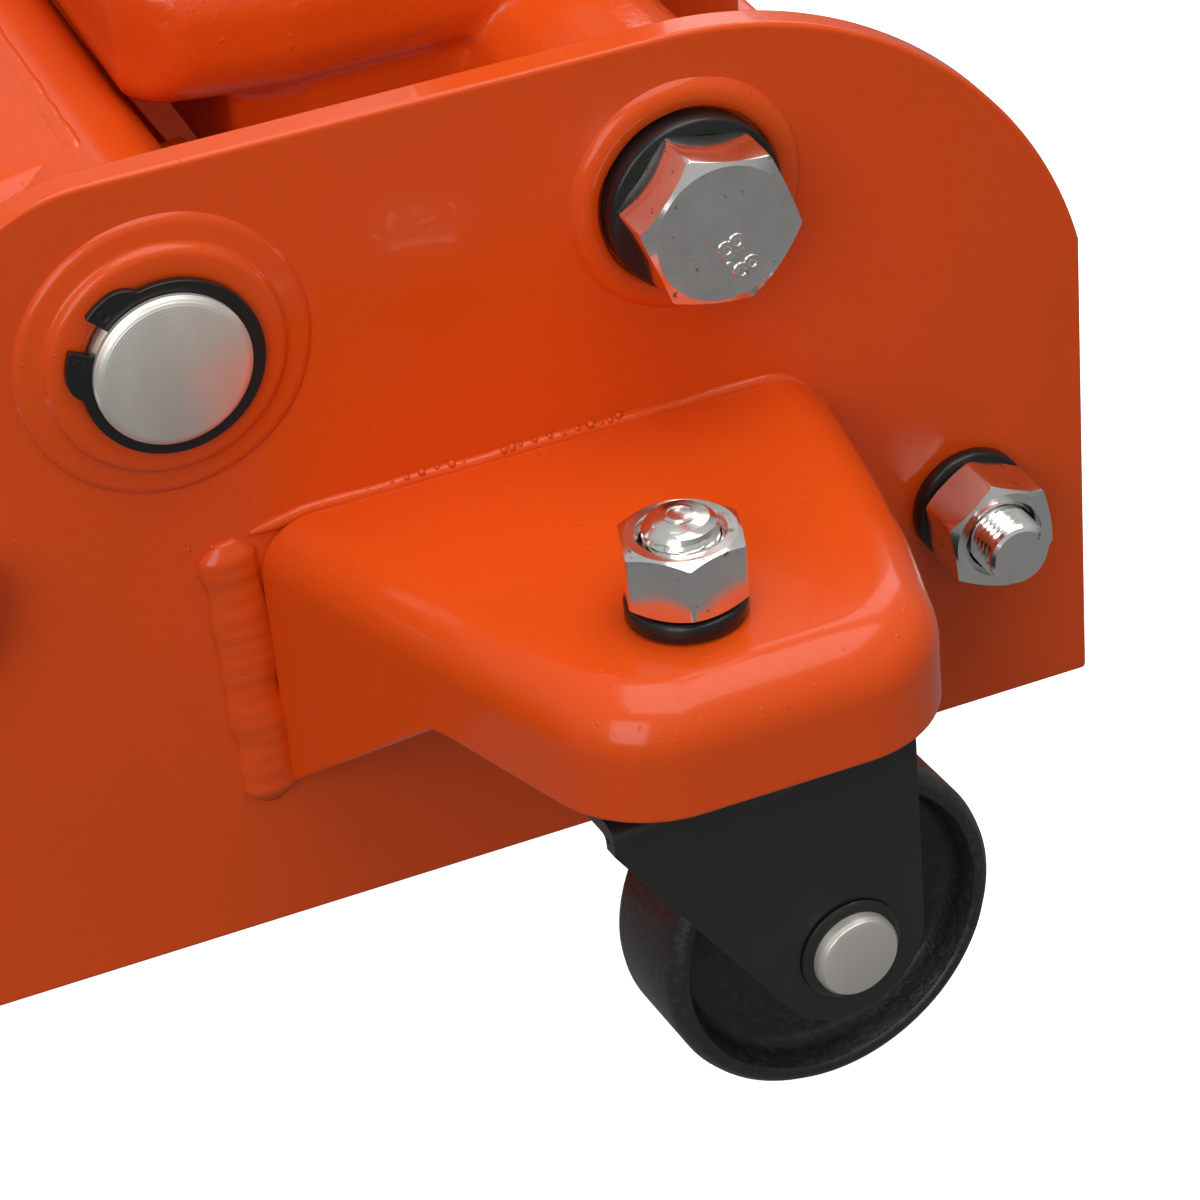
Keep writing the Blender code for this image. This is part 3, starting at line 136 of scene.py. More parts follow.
class JackMetalwork(bpy.types.PropertyGroup):
    plate_edge: bpy.props.FloatProperty(
        name="Plate edge", description="Rounding of the plates' edges", default=0.0009, unit="LENGTH")
    bend_radius: bpy.props.FloatProperty(
        name="Bend radius", description="Outer radius of the bracket's bends", default=0.0095, unit="LENGTH")
    bracket_metal: bpy.props.FloatProperty(
        name="Bracket metal", description="Thickness of the pressed bracket", default=0.0050, unit="LENGTH")
    weld_width: bpy.props.FloatProperty(
        name="Weld width", description="Width of the bracket's front weld", default=0.0098, unit="LENGTH")
    thread_pitch: bpy.props.FloatProperty(
        name="Thread pitch", description="Pitch of the studs' threads", default=0.0013, unit="LENGTH")
    thread_depth: bpy.props.FloatProperty(
        name="Thread depth", description="Depth of the studs' threads", default=0.00055, unit="LENGTH")
    spring_wire: bpy.props.FloatProperty(
        name="Spring wire", description="Radius of the return springs' wire", default=0.0011, unit="LENGTH")
    spring_coils: bpy.props.IntProperty(
        name="Spring coils", description="Turns in each return spring", default=26, min=4)


class JackStage(bpy.types.PropertyGroup):
    key: bpy.props.FloatProperty(
        name="Key light", description="Power of the large overhead light", default=13.0, unit="POWER")
    fill: bpy.props.FloatProperty(
        name="Fill light", description="Power of the light beside the camera", default=10.0, unit="POWER")
    rear: bpy.props.FloatProperty(
        name="Rear light", description="Power of the light behind the jack", default=6.0, unit="POWER")
    ambient: bpy.props.FloatProperty(
        name="Ambient", description="Strength of the surrounding light", default=0.50, min=0.0)
    lens: bpy.props.FloatProperty(
        name="Lens", description="Focal length of the camera", default=124.05, unit="CAMERA")


# ---------------------------------------------------------------- shader maths

class Field:
    """A socket whose arithmetic adds Math nodes to its material."""

    def __init__(self, finish, socket):
        self.finish = finish
        self.socket = socket

    def maths(self, operation, *values):
        return self.finish.node("ShaderNodeMath", {"operation": operation}, dict(enumerate(values)))

    def __add__(self, other):
        return self.maths("ADD", self, other)

    def __radd__(self, other):
        return self.maths("ADD", other, self)

    def __sub__(self, other):
        return self.maths("SUBTRACT", self, other)

    def __rsub__(self, other):
        return self.maths("SUBTRACT", other, self)

    def __mul__(self, other):
        return self.maths("MULTIPLY", self, other)

    def __truediv__(self, other):
        return self.maths("DIVIDE", self, other)

    def __pow__(self, other):
        return self.maths("POWER", self, other)

    def __abs__(self):
        return self.maths("ABSOLUTE", self)

    def clamped(self):
        return self.finish.node("ShaderNodeClamp", {}, {0: self})


class Finish:
    """A material with one Principled shader, and one method that adds any other node to it."""

    def __init__(self, name, colour, roughness, metallic=0.0, coat=0.0, coat_roughness=0.04):
        self.material = bpy.data.materials.new(name)
        self.material.use_nodes = True
        self.tree = self.material.node_tree
        self.shader = self.tree.nodes["Principled BSDF"]
        self.colour = (*colour, 1.0)
        self.set("Base Color", self.colour)
        self.set("Roughness", roughness)
        self.set("Metallic", metallic)
        self.set("Coat Weight", coat)
        self.set("Coat Roughness", coat_roughness)
        self.place = self.node("ShaderNodeTexCoord", {}, {}, "Object")

    def node(self, kind, settings, values, out=0):
        node = self.tree.nodes.new(kind)
        for name, setting in settings.items():
            if name == "stops":
                ramp = node.color_ramp
                for (spot, shade), element in zip(setting, ramp.elements):
                    element.position = spot
                    element.color = (shade, shade, shade, 1.0)
            else:
                setattr(node, name, setting)
        for name, value in values.items():
            if isinstance(value, Field):
                self.tree.links.new(value.socket, node.inputs[name])
            else:
                node.inputs[name].default_value = value
        return Field(self, node.outputs[out])

    def set(self, name, value):
        if isinstance(value, Field):
            self.tree.links.new(value.socket, self.shader.inputs[name])
        else:
            self.shader.inputs[name].default_value = value

    def speckle(self, scale, detail=3.0, roughness=0.55, stretch=None):
        """Even noise from 0 to 1, optionally stretched along the piece's own axes."""
        where = self.place
        if stretch:
            where = self.node("ShaderNodeMapping", {}, {"Vector": where, "Scale": stretch})
        return self.node("ShaderNodeTexNoise", {}, {
            "Vector": where, "Scale": scale, "Detail": detail, "Roughness": roughness})

    def pick(self, field, low, high):
        """A field ramped from black at low to white at high."""
        return self.node("ShaderNodeValToRGB", {"stops": ((low, 0.0), (high, 1.0))}, {0: field})

    def mixed(self, share, first, second):
        return self.node("ShaderNodeMix", {"data_type": "RGBA"}, {0: share, 6: first, 7: second}, 2)

    def bump(self, height, distance, strength=1.0, under=None):
        values = {"Height": height, "Distance": distance, "Strength": strength}
        if under:
            values["Normal"] = under
        return self.node("ShaderNodeBump", {}, values)

    def along(self, axis):
        split = self.tree.nodes.new("ShaderNodeSeparateXYZ")
        self.tree.links.new(self.place.socket, split.inputs[0])
        return Field(self, split.outputs[axis])


def shade(colour, factor):
    return (*(min(1.0, part * factor) for part in colour), 1.0)


def make_paint(name, cast=False):
    """Thick glossy paint; over a casting it keeps the sand's grain and pits."""
    look = bpy.context.scene.jack_finish
    paint = Finish(name, look.paint, look.paint_roughness, coat=0.20, coat_roughness=0.03)
    paint.set("Specular IOR Level", 0.25)
    patches = paint.speckle(9.0, 2.0)
    deep, bright = shade(look.paint, 0.90), shade(look.paint, 1.06)
    paint.set("Base Color", paint.mixed(patches, deep, bright))
    haze = paint.speckle(55.0, 4.0)
    paint.set("Roughness", look.paint_roughness - 0.05 + haze * 0.10)
    peel = paint.bump(paint.speckle(240.0, 2.0), 0.00025, look.orange_peel)
    runs = paint.bump(paint.speckle(28.0, 2.0), 0.0012, 0.16, peel)
    dust = paint.pick(paint.speckle(900.0, 1.0), 0.70, 0.78)
    normal = paint.bump(dust, 0.0002, 0.5, runs)
    if cast:
        grain = paint.speckle(420.0, 5.0, 0.65)
        pits = paint.pick(paint.speckle(160.0, 2.0), 0.66, 0.74)
        normal = paint.bump(grain - pits * 0.8, 0.0005, 0.35, normal)
    paint.set("Normal", normal)
    return paint


def make_plate_paint():
    """Side plates' paint, with faint curved press marks around the rear stud as a bump, and the paint
    darkened along them as painted reflection lines.
    """
    paint = make_paint("plate_paint")
    across = paint.along(1) - STUD.y
    upward = paint.along(2) - STUD.z
    reach = (across * across + upward * upward) ** 0.5
    angle = paint.node("ShaderNodeMath", {"operation": "ARCTAN2"}, {0: upward, 1: across})
    # Curved lines around the rear stud: press-mark relief in the bump, painted reflection lines in the
    # colour.
    press_and_reflection_lines = None
    for radius, centre, spread in ((0.0255, 1.65, 0.75), (0.0340, 1.30, 0.45), (0.0270, -0.95, 0.6),
                                   (0.0235, 2.75, 0.35)):
        line = 1 - (abs(reach - radius) / 0.0011).clamped()
        part = 1 - (abs(angle - centre) / spread).clamped()
        mark = line * part
        press_and_reflection_lines = mark if press_and_reflection_lines is None else press_and_reflection_lines + mark
    under = Field(paint, paint.shader.inputs["Normal"].links[0].from_socket)
    paint.set("Normal", paint.bump(press_and_reflection_lines, 0.0012, 0.55, under))
    # Darken the paint along the curved lines: painted reflection lines.
    tone = Field(paint, paint.shader.inputs["Base Color"].links[0].from_socket)
    look = bpy.context.scene.jack_finish
    paint.set("Base Color", paint.mixed((press_and_reflection_lines * 0.45).clamped(), tone, shade(look.paint, 0.55)))
    return paint


def make_zinc():
    """Bright zinc plate: blue-grey, a little cloudy, with fine scratches and a few dark specks."""
    look = bpy.context.scene.jack_finish
    zinc = Finish("zinc_plate", look.zinc, 0.24, 1.0)
    clouds = zinc.speckle(160.0, 3.0)
    tone = zinc.mixed(clouds, shade(look.zinc, 0.80), shade(look.zinc, 1.14))
    specks = zinc.pick(zinc.speckle(520.0, 2.0), 0.66, 0.73)
    zinc.set("Base Color", zinc.mixed(specks * 0.7, tone, (0.07, 0.065, 0.06, 1.0)))
    scratches = zinc.speckle(300.0, 2.0, 0.6, (1.0, 0.08, 1.0))
    zinc.set("Roughness", 0.11 + clouds * 0.10 + specks * 0.2)
    zinc.set("Normal", zinc.bump(scratches + clouds, 0.00010, 0.16))
    return zinc


def make_turned():
    """Bare turned steel under oil: fine rings round the axis, and a pale smeared tone."""
    look = bpy.context.scene.jack_finish
    steel = Finish("turned_steel", look.turned, 0.42, 0.75)
    across, upward = steel.along(0), steel.along(1)
    reach = (across * across + upward * upward) ** 0.5
    wander = steel.speckle(60.0, 3.0)
    rings = steel.node("ShaderNodeMath", {"operation": "SINE"}, {0: reach * 14000.0 + wander * 5.0})
    smears = steel.speckle(90.0, 4.0, 0.6, (1.0, 0.2, 1.0))
    tone = steel.mixed(smears, shade(look.turned, 0.82), shade(look.turned, 1.16))
    steel.set("Base Color", tone)
    steel.set("Roughness", 0.34 + smears * 0.16)
    steel.set("Normal", steel.bump(rings * 0.3 + smears, 0.00008, 0.35))
    return steel


def make_black(name, roughness, grain, depth, metallic=0.0, coat=0.0):
    look = bpy.context.scene.jack_finish
    black = Finish(name, look.black, roughness, metallic, coat, 0.12)
    cloud = black.speckle(35.0, 3.0)
    black.set("Base Color", black.mixed(cloud, shade(look.black, 0.8), shade(look.black, 1.7)))
    black.set("Roughness", roughness - 0.05 + cloud * 0.12)
    black.set("Normal", black.bump(black.speckle(grain, 4.0, 0.6), depth, 0.35))
    return black


def make_iron():
    """Sand-cast iron under thin black paint: the sand grains are lightened in the colour as painted glints.
    """
    look = bpy.context.scene.jack_finish
    iron = Finish("black_cast_iron", look.iron, 0.36, 0.0, 0.25, 0.2)
    sand = iron.speckle(620.0, 5.0, 0.7)
    lumps = iron.speckle(150.0, 3.0)
    # Lighter specks on the sand grains: painted glints.
    painted_grain_glints = iron.pick(sand, 0.5, 0.75)
    iron.set("Base Color", iron.mixed(painted_grain_glints, shade(look.iron, 0.8), shade(look.iron, 3.0)))
    iron.set("Roughness", 0.27 + sand * 0.25)
    normal = iron.bump(lumps, 0.0007, 0.35)
    iron.set("Normal", iron.bump(sand, 0.0006, 0.55, normal))
    return iron


def make_chrome():
    chrome = Finish("ground_chrome", (0.62, 0.62, 0.63), 0.10, 1.0)
    film = chrome.speckle(70.0, 3.0)
    chrome.set("Roughness", 0.06 + film * 0.10)
    chrome.set("Normal", chrome.bump(chrome.speckle(400.0, 2.0, 0.5, (1.0, 1.0, 0.05)), 0.00005, 0.2))
    return chrome


def make_rubber():
    rubber = Finish("black_rubber", (0.018, 0.018, 0.018), 0.72)
    bloom = rubber.speckle(30.0, 4.0)
    rubber.set("Base Color", rubber.mixed(bloom, (0.012, 0.012, 0.012, 1.0), (0.035, 0.034, 0.032, 1.0)))
    rubber.set("Roughness", 0.62 + bloom * 0.2)
    rubber.set("Normal", rubber.bump(rubber.speckle(700.0, 3.0), 0.0003, 0.35))
    return rubber


FINISHES = {}


def make_finishes():
    FINISHES.update({
        "plate_paint": make_plate_paint(),
        "paint": make_paint("orange_paint"),
        "cast_paint": make_paint("cast_paint", cast=True),
        "zinc": make_zinc(),
        "turned": make_turned(),
        "oxide": make_black("black_oxide", 0.34, 500.0, 0.0002, 0.3, 0.2),
        "black": make_black("black_paint", 0.34, 220.0, 0.0003, 0.0, 0.25),
        "iron": make_iron(),
        "chrome": make_chrome(),
        "rubber": make_rubber(),
    })


# ---------------------------------------------------------------- shapes

class Shape:
    """Points and faces gathered for one piece, in the piece's own frame."""

    def __init__(self):
        self.points = []
        self.faces = []

    def ring(self, points):
        first = len(self.points)
        self.points += [Vector(point) for point in points]
        return list(range(first, first + len(points)))

    def skin(self, rings, closed=True):
        """Faces between rings of equal counts, or between a ring and a lone point."""
        for lower, upper in zip(rings, rings[1:]):
            count = max(len(lower), len(upper))
            for i in range(count if closed else count - 1):
                j = (i + 1) % count
                if len(lower) == 1:
                    self.faces.append((lower[0], upper[i], upper[j]))
                elif len(upper) == 1:
                    self.faces.append((lower[i], upper[0], lower[j]))
                else:
                    self.faces.append((lower[i], upper[i], upper[j], lower[j]))

    def lathe(self, profile, steps=72, wave=None, loop=False):
        """Turn (radius, height) points about local Z; wave adds to the radius by angle and height."""
        rings = []
        for radius, height in profile:
            if radius == 0.0:
                rings.append(self.ring([(0.0, 0.0, height)]))
                continue
            points = []
            for i in range(steps):
                angle = math.tau * i / steps
                reach = radius + (wave(angle, height, radius) if wave else 0.0)
                points.append((reach * math.cos(angle), reach * math.sin(angle), height))
            rings.append(self.ring(points))
        self.skin(rings + rings[:1] if loop else rings)
        return self

    def prism(self, outline, low, high):
        lower = self.ring([(x, y, low) for x, y in outline])
        upper = self.ring([(x, y, high) for x, y in outline])
        self.skin([lower, upper])
        self.faces += [tuple(reversed(lower)), tuple(upper)]
        return self

    def tube(self, route, sections):
        """Skin sections, each a list of (sideways, upward) offsets, along a route of (point, side, up)."""
        rings = [
            self.ring([point + side * x + up * y for x, y in section])
            for (point, side, up), section in zip(route, sections)
        ]
        self.skin(rings)
        self.faces += [tuple(reversed(rings[0])), tuple(rings[-1])]
        return self


def arc(centre, radius, start, end, steps):
    """Points on an arc, between two angles in degrees, both ends included."""
    return [
        (centre[0] + radius * math.cos(math.radians(start + (end - start) * i / steps)),
         centre[1] + radius * math.sin(math.radians(start + (end - start) * i / steps)))
        for i in range(steps + 1)
    ]


def rounded(corners, steps=10):
    """An outline from (x, y, radius) corners, each one rounded by an arc of the same number of steps."""
    outline = []
    count = len(corners)
    for i, (x, y, radius) in enumerate(corners):
        corner = Vector((x, y))
        if radius <= 0.0:
            outline.append((x, y))
            continue
        before = (Vector(corners[i - 1][:2]) - corner).normalized()
        after = (Vector(corners[(i + 1) % count][:2]) - corner).normalized()
        half = before.angle(after) / 2
        centre = corner + (before + after).normalized() * radius / math.sin(half)
        start = corner + before * radius / math.tan(half) - centre
        sweep = start.angle_signed(corner + after * radius / math.tan(half) - centre)
        for step in range(steps + 1):
            turned = start.copy()
            turned.rotate(Matrix.Rotation(-sweep * step / steps, 2))
            outline.append(tuple(centre + turned))
    return outline


def wrapped(circles, steps=40):
    """The tightest convex outline around circles given as (x, y, radius)."""
    points = sorted({
        (round(x + radius * math.cos(math.tau * i / steps), 7),
         round(y + radius * math.sin(math.tau * i / steps), 7))
        for x, y, radius in circles for i in range(steps)
    })

    def chain(ordered):
        hull = []
        for point in ordered:
            while len(hull) > 1 and (
                (hull[-1][0] - hull[-2][0]) * (point[1] - hull[-2][1])
                - (hull[-1][1] - hull[-2][1]) * (point[0] - hull[-2][0])
            ) <= 0:
                hull.pop()
            hull.append(point)
        return hull[:-1]

    return chain(points) + chain(points[::-1])


def hexagon(flats, rounding=0.0007):
    """A hexagon's outline with softly rounded corners, a corner lying at 0 degrees."""
    half = flats / 2
    reach = (half - rounding) / math.cos(math.radians(30))
    outline = []
    for side in range(6):
        for turn in (-30, -29.2, -28.4, -27.4, -22, -15, -8, 0, 8, 15, 22, 27.4, 28.4, 29.2):
            corner = math.radians(30 - abs(turn))
            edge = math.degrees(math.atan((half - rounding) * math.tan(math.radians(30)) / half))
            if abs(turn) < edge:
                radius = half / math.cos(math.radians(turn))
            else:
                radius = reach * math.cos(corner) + math.sqrt(rounding ** 2 - (reach * math.sin(corner)) ** 2)
            angle = math.radians(30 + 60 * side + turn)
            outline.append((radius * math.cos(angle), radius * math.sin(angle)))
    return outline


def hex_body(flats, low, high, bore=0.0, both_ends=False):
    """A hexagon nut or bolt head whose corners are turned off by a shallow cone."""
    outline = hexagon(flats)
    crown = flats * 0.475
    slope = math.tan(math.radians(30))

    def level(share, height, downward, sink=0.0):
        points = []
        for x, y in outline:
            radius = math.hypot(x, y)
            reach = crown + (radius - crown) * share
            drop = (reach - crown) * slope + sink
            points.append((x * reach / radius, y * reach / radius, height + (drop if downward else -drop)))
        return points

    shape = Shape()
    rings = []
    if bore:
        mouth = 0.0009
        for radius, height in ((bore, low), (bore, high - mouth), (bore + mouth, high)):
            rings.append(shape.ring([
                (radius * math.cos(math.atan2(y, x)), radius * math.sin(math.atan2(y, x)), height)
                for x, y in outline]))
    else:
        rings.append(shape.ring([(0.0, 0.0, high)]))
    for share in (0.0, 0.35, 0.7, 0.95):
        rings.append(shape.ring(level(share, high, False)))
    rings.append(shape.ring(level(1.0, high, False, 0.00022)))
    rings.append(shape.ring(level(1.0, low, True, 0.0002) if both_ends else level(1.0, low, False, -0.0002)))
    if both_ends:
        rings.append(shape.ring(level(0.0, low, True)))
    rings.append(rings[0] if bore else shape.ring([(0.0, 0.0, low)]))
    shape.skin(rings)
    return shape


def thread(pitch, depth, low, high):
    """A wave for a lathe: one V-shaped helical groove between two heights."""
    def wave(angle, height, radius):
        turns = height / pitch - angle / math.tau
        groove = abs(2 * (turns - math.floor(turns)) - 1)
        fade = max(0.0, min(1.0, (height - low) / pitch, (high - height) / pitch))
        return -depth * groove * fade
    return wave


def stud_profile(radius, low, high, pitch, dome=0.0):
    """The profile of a threaded stud, with a chamfered and slightly domed end."""
    chamfer = 0.0011
    profile = [(0.0, high + dome)]
    if dome:
        profile += [(radius * share, high + dome * (1 - share ** 2)) for share in (0.3, 0.55, 0.75)]
    profile += [(radius - chamfer, high), (radius - chamfer * 0.4, high - 0.0004)]
    rows = max(2, round((high - chamfer - low) / (pitch / 8)))
    profile += [(radius, high - chamfer - (high - chamfer - low) * i / rows) for i in range(rows + 1)]
    return profile + [(0.0, low)]


def mirrored(end):
    """A lathe's whole profile from the points of its upper end, down to the middle height."""
    return end + [(radius, -height) for radius, height in reversed(end)]


def outward(side, along, height):
    """A place on a side plate, whose local Z points out of the jack and local Y up."""
    turn = Matrix(((0.0, 0.0, side), (side, 0.0, 0.0), (0.0, 1.0, 0.0)))
    return Matrix.Translation((side * FACE, PIVOT.y + along, height)) @ turn.to_4x4()


def across(place):
    """A place whose local Z runs along world X."""
    turn = Matrix(((0.0, 0.0, 1.0), (1.0, 0.0, 0.0), (0.0, 1.0, 0.0)))
    return Matrix.Translation(place) @ turn.to_4x4()


def add_piece(name, shape, finish, body, place=None, replaces=(), edge=0.0, segments=3, sharp=32.0,
              metal=0.0):
    """Make a piece from a shape: weld its points, round its edges, give it a finish, and let it ride."""
    mesh = bpy.data.meshes.new(name)
    mesh.from_pydata([tuple(point) for point in shape.points], [], shape.faces)
    work = bmesh.new()
    work.from_mesh(mesh)
    bmesh.ops.remove_doubles(work, verts=work.verts, dist=1e-6)
    bmesh.ops.recalc_face_normals(work, faces=work.faces)
    work.to_mesh(mesh)
    work.free()
    mesh.materials.append(FINISHES[finish].material)
    mesh.shade_smooth()
    mesh.set_sharp_from_angle(angle=math.radians(sharp))
    piece = bpy.data.objects.new(name, mesh)
    bpy.context.scene.collection.objects.link(piece)
    if place is not None:
        piece.matrix_world = place
    if metal:
        solidify = piece.modifiers.new("metal", "SOLIDIFY")
        solidify.thickness = metal
        solidify.offset = -1.0
        solidify.use_even_offset = True
    if edge:
        bevel = piece.modifiers.new("edge", "BEVEL")
        bevel.width = edge
        bevel.segments = segments
        bevel.limit_method = "ANGLE"
        bevel.angle_limit = math.radians(40)
        bevel.use_clamp_overlap = True
        bevel.harden_normals = True
    return settle(piece, body, replaces)


def settle(piece, body, replaces=()):
    if replaces:
        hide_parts(*replaces)
    if body:
        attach(piece, body)
    return piece


def copied(node):
    """A new mesh with a CAD node's shape, its flat areas made whole again."""
    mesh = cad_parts[node].data.copy()
    work = bmesh.new()
    work.from_mesh(mesh)
    bmesh.ops.remove_doubles(work, verts=work.verts, dist=1e-6)
    bmesh.ops.dissolve_limit(work, angle_limit=math.radians(1.0), verts=work.verts, edges=work.edges)
    work.to_mesh(mesh)
    work.free()
    mesh.materials.clear()
    return mesh


def soften(name, node, finish, body, voxel=0.0012, passes=5):
    """A casting: the node's shape with every edge and inner corner softened as sand leaves it."""
    mesh = copied(node)
    mesh.materials.append(FINISHES[finish].material)
    piece = bpy.data.objects.new(name, mesh)
    bpy.context.scene.collection.objects.link(piece)
    remesh = piece.modifiers.new("sand", "REMESH")
    remesh.mode = "VOXEL"
    remesh.voxel_size = voxel
    smooth = piece.modifiers.new("soften", "SMOOTH")
    smooth.factor = 0.5
    smooth.iterations = passes
    bpy.context.view_layer.update()
    done = bpy.data.meshes.new_from_object(piece.evaluated_get(bpy.context.evaluated_depsgraph_get()))
    piece.modifiers.clear()
    piece.data = done
    done.shade_smooth()
    return settle(piece, body, (node,))


def edged(name, node, finish, body, edge=0.0008):
    """A cut plate: the node's shape with its sharp edges broken."""
    mesh = copied(node)
    mesh.materials.append(FINISHES[finish].material)
    mesh.shade_smooth()
    mesh.set_sharp_from_angle(angle=math.radians(32))
    piece = bpy.data.objects.new(name, mesh)
    bpy.context.scene.collection.objects.link(piece)
    bevel = piece.modifiers.new("edge", "BEVEL")
    bevel.width = edge
    bevel.segments = 2
    bevel.limit_method = "ANGLE"
    bevel.angle_limit = math.radians(50)
    return settle(piece, body, (node,))


def bead_shape(points, outward_way, width, height, seed, taper=0.25):
    """A weld bead along points: a low rounded ridge that swells, narrows and ripples."""
    shape = Shape()
    route, sections = [], []
    total = sum((b - a).length for a, b in zip(points, points[1:]))
    gone = 0.0
    for i, point in enumerate(points):
        before, after = points[max(0, i - 1)], points[min(len(points) - 1, i + 1)]
        way = (after - before).normalized()
        up = outward_way if isinstance(outward_way, Vector) else outward_way[i]
        side = way.cross(up).normalized()
        if i:
            gone += (point - points[i - 1]).length
        share = gone / total
        ends = min(1.0, share / taper + 0.35, (1 - share) / taper + 0.35)
        swell = 1.0 + 0.16 * noise.noise((gone * 160.0, seed, 0.0))
        ripple = 1.0 + 0.04 * math.sin(gone * math.tau / 0.0031 + 3.0 * noise.noise((gone * 90.0, seed, 5.0)))
        half = width / 2 * ends * swell * (1.0 + 0.10 * noise.noise((gone * 55.0, seed, 2.0)))
        rise = height * ends * swell * ripple
        shift = 0.10 * width * noise.noise((gone * 120.0, seed, 9.0))
        section = []
        for step in range(16):
            angle = math.tau * step / 16
            section.append((shift + half * math.cos(angle), rise * math.sin(angle) - height * 0.12))
        route.append((point, side, up))
        sections.append(section)
    return shape.tube(route, sections)


def spread(start, end, count):
    return [start.lerp(end, i / (count - 1)) for i in range(count)]


# ---------------------------------------------------------------- pieces

def side_outline():
    """The side plates' outline along and up, from the lower rear corner round to the nose."""
    rear_radius, shoulder_radius = 0.073, 0.030
    slope, neck = 27, -0.150
    corner = (0.0846, PLATE_TOP - rear_radius)
    kink = math.degrees(math.acos((PLATE_REAR - corner[0]) / rear_radius))
    outline = [(PLATE_REAR, PLATE_BOTTOM)]
    outline += arc(corner, rear_radius, kink, 90, 48)
    outline += arc((-0.008, PLATE_TOP - shoulder_radius), shoulder_radius, 90, 90 + slope, 16)
    last = outline[-1]
    outline.append((neck, last[1] - (last[0] - neck) * math.tan(math.radians(slope))))
    nose = (FRONT_AXLE.y, FRONT_AXLE.z)
    return outline + arc(nose, FRONT_AXLE.z - PLATE_BOTTOM, 95, 270, 40)


def build_side_plates():
    work = bpy.context.scene.jack_metalwork
    outline = side_outline()
    for mark, side in SIDES:
        place = outward(side, 0.0, 0.0)
        local = [(side * along, height) for along, height in outline]
        shape = Shape().prism(local, -PLATE_THICK, 0.0)
        add_piece(f"side_panel_{mark}", shape, "plate_paint", "chassis", place, (f"side_plate_{mark}",),
                  edge=work.plate_edge, segments=4)
        boss = [(0.0131, -0.002), (0.0131, 0.0019), (0.0137, 0.0025), (0.0150, 0.0026), (0.0176, 0.0026),
                (0.0185, 0.0024), (0.0190, 0.0018), (0.0192, 0.0013), (0.0198, 0.0011), (0.0220, 0.0010),
                (0.0228, 0.0008), (0.0233, 0.0004), (0.0236, 0.0000), (0.0240, -0.0006), (0.0240, -0.002)]
        shape = Shape().lathe(boss, 96, uneven(0.00016), loop=True)
        add_piece(f"pivot_boss_{mark}", shape, "paint", "chassis", outward(side, 0.0, PIVOT.z), sharp=60)
        ring = [(0.0150, -0.002), (0.0150, 0.0010), (0.0155, 0.0015), (0.0176, 0.0015), (0.0185, 0.0012),
                (0.0192, 0.0007), (0.0197, 0.0000), (0.0201, -0.0006), (0.0201, -0.002)]
        shape = Shape().lathe(ring, 96, uneven(0.00022), loop=True)
        place = outward(side, BOLT.y - PIVOT.y, BOLT.z)
        add_piece(f"bolt_boss_{mark}", shape, "paint", "chassis", place, sharp=60)


def uneven(size):
    """A small wave that keeps a painted ring from being perfectly round."""
    def wave(angle, height, radius):
        return size * noise.noise((2.2 * math.cos(angle), 2.2 * math.sin(angle), radius * 400.0))
    return wave


def build_pivot():
    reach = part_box("pivot_shaft")[1].x
    radius = 0.0125
    end = [(0.0, reach), (radius - 0.0016, reach), (radius - 0.0007, reach - 0.0004),
           (radius, reach - 0.0012), (radius, FACE + 0.0045), (radius - 0.0006, FACE + 0.0044),
           (radius - 0.0006, FACE + 0.0028), (radius, FACE + 0.0027)]
    shape = Shape().lathe(mirrored(end), 96)
    add_piece("pivot_pin", shape, "turned", "chassis", across(PIVOT), ("pivot_shaft",))
    for mark, side in SIDES:
        build_circlip(mark, side)


def build_circlip(mark, side):
    """An external retaining ring: thickest opposite its gap, with a drilled lug at each end."""
    inner, slim, thicker, lug_reach, lug_steps = 0.0120, 0.0141, 0.0009, 0.0024, 9
    gap, middle_angle, steps = 20.0, 145.5, 96
    eye_reach = 0.01475
    points_out, points_in = [], []
    start, end = middle_angle + gap / 2, middle_angle + 360 - gap / 2
    for i in range(steps + 1):
        angle = math.radians(start + (end - start) * i / steps)
        away = math.cos(angle - math.radians(middle_angle + 180)) * 0.5 + 0.5
        outer = slim + thicker * away
        lug = min(i, steps - i) / lug_steps
        if lug < 1.0:
            outer += lug_reach * (1 - lug ** 4)
        points_out.append((outer * math.cos(angle), outer * math.sin(angle)))
        points_in.append((inner * math.cos(angle), inner * math.sin(angle)))
    low, high = 0.0029, 0.0043
    shape = Shape()
    rings = [
        shape.ring([(x, y, low) for x, y in points_in]), shape.ring([(x, y, low) for x, y in points_out]),
        shape.ring([(x, y, high) for x, y in points_out]), shape.ring([(x, y, high) for x, y in points_in]),
    ]
    shape.skin([*rings, rings[0]], closed=False)
    shape.faces += [tuple(ring[0] for ring in rings), tuple(ring[-1] for ring in reversed(rings))]
    place = outward(side, 0.0, PIVOT.z)
    if side < 0:
        place = place @ Matrix.Rotation(math.radians(180 - 2 * middle_angle), 4, "Z")
    add_piece(f"retaining_ring_{mark}", shape, "oxide", "chassis", place, (f"pivot_circlip_{mark}",),
              edge=0.00025)
    for number, angle in enumerate((start + 7.0, end - 7.0)):
        eyelet = Shape().lathe([(0.00055, high - 0.0004), (0.00055, high + 0.00012), (0.0008, high + 0.0002),
                                (0.00115, high + 0.0001), (0.0012, high - 0.0004)], 24, loop=True)
        spot = Matrix.Translation((eye_reach * math.cos(math.radians(angle)),
                                   eye_reach * math.sin(math.radians(angle)), 0.0))
        add_piece(f"ring_eye_{mark}_{number}", eyelet, "oxide", "chassis", place @ spot)


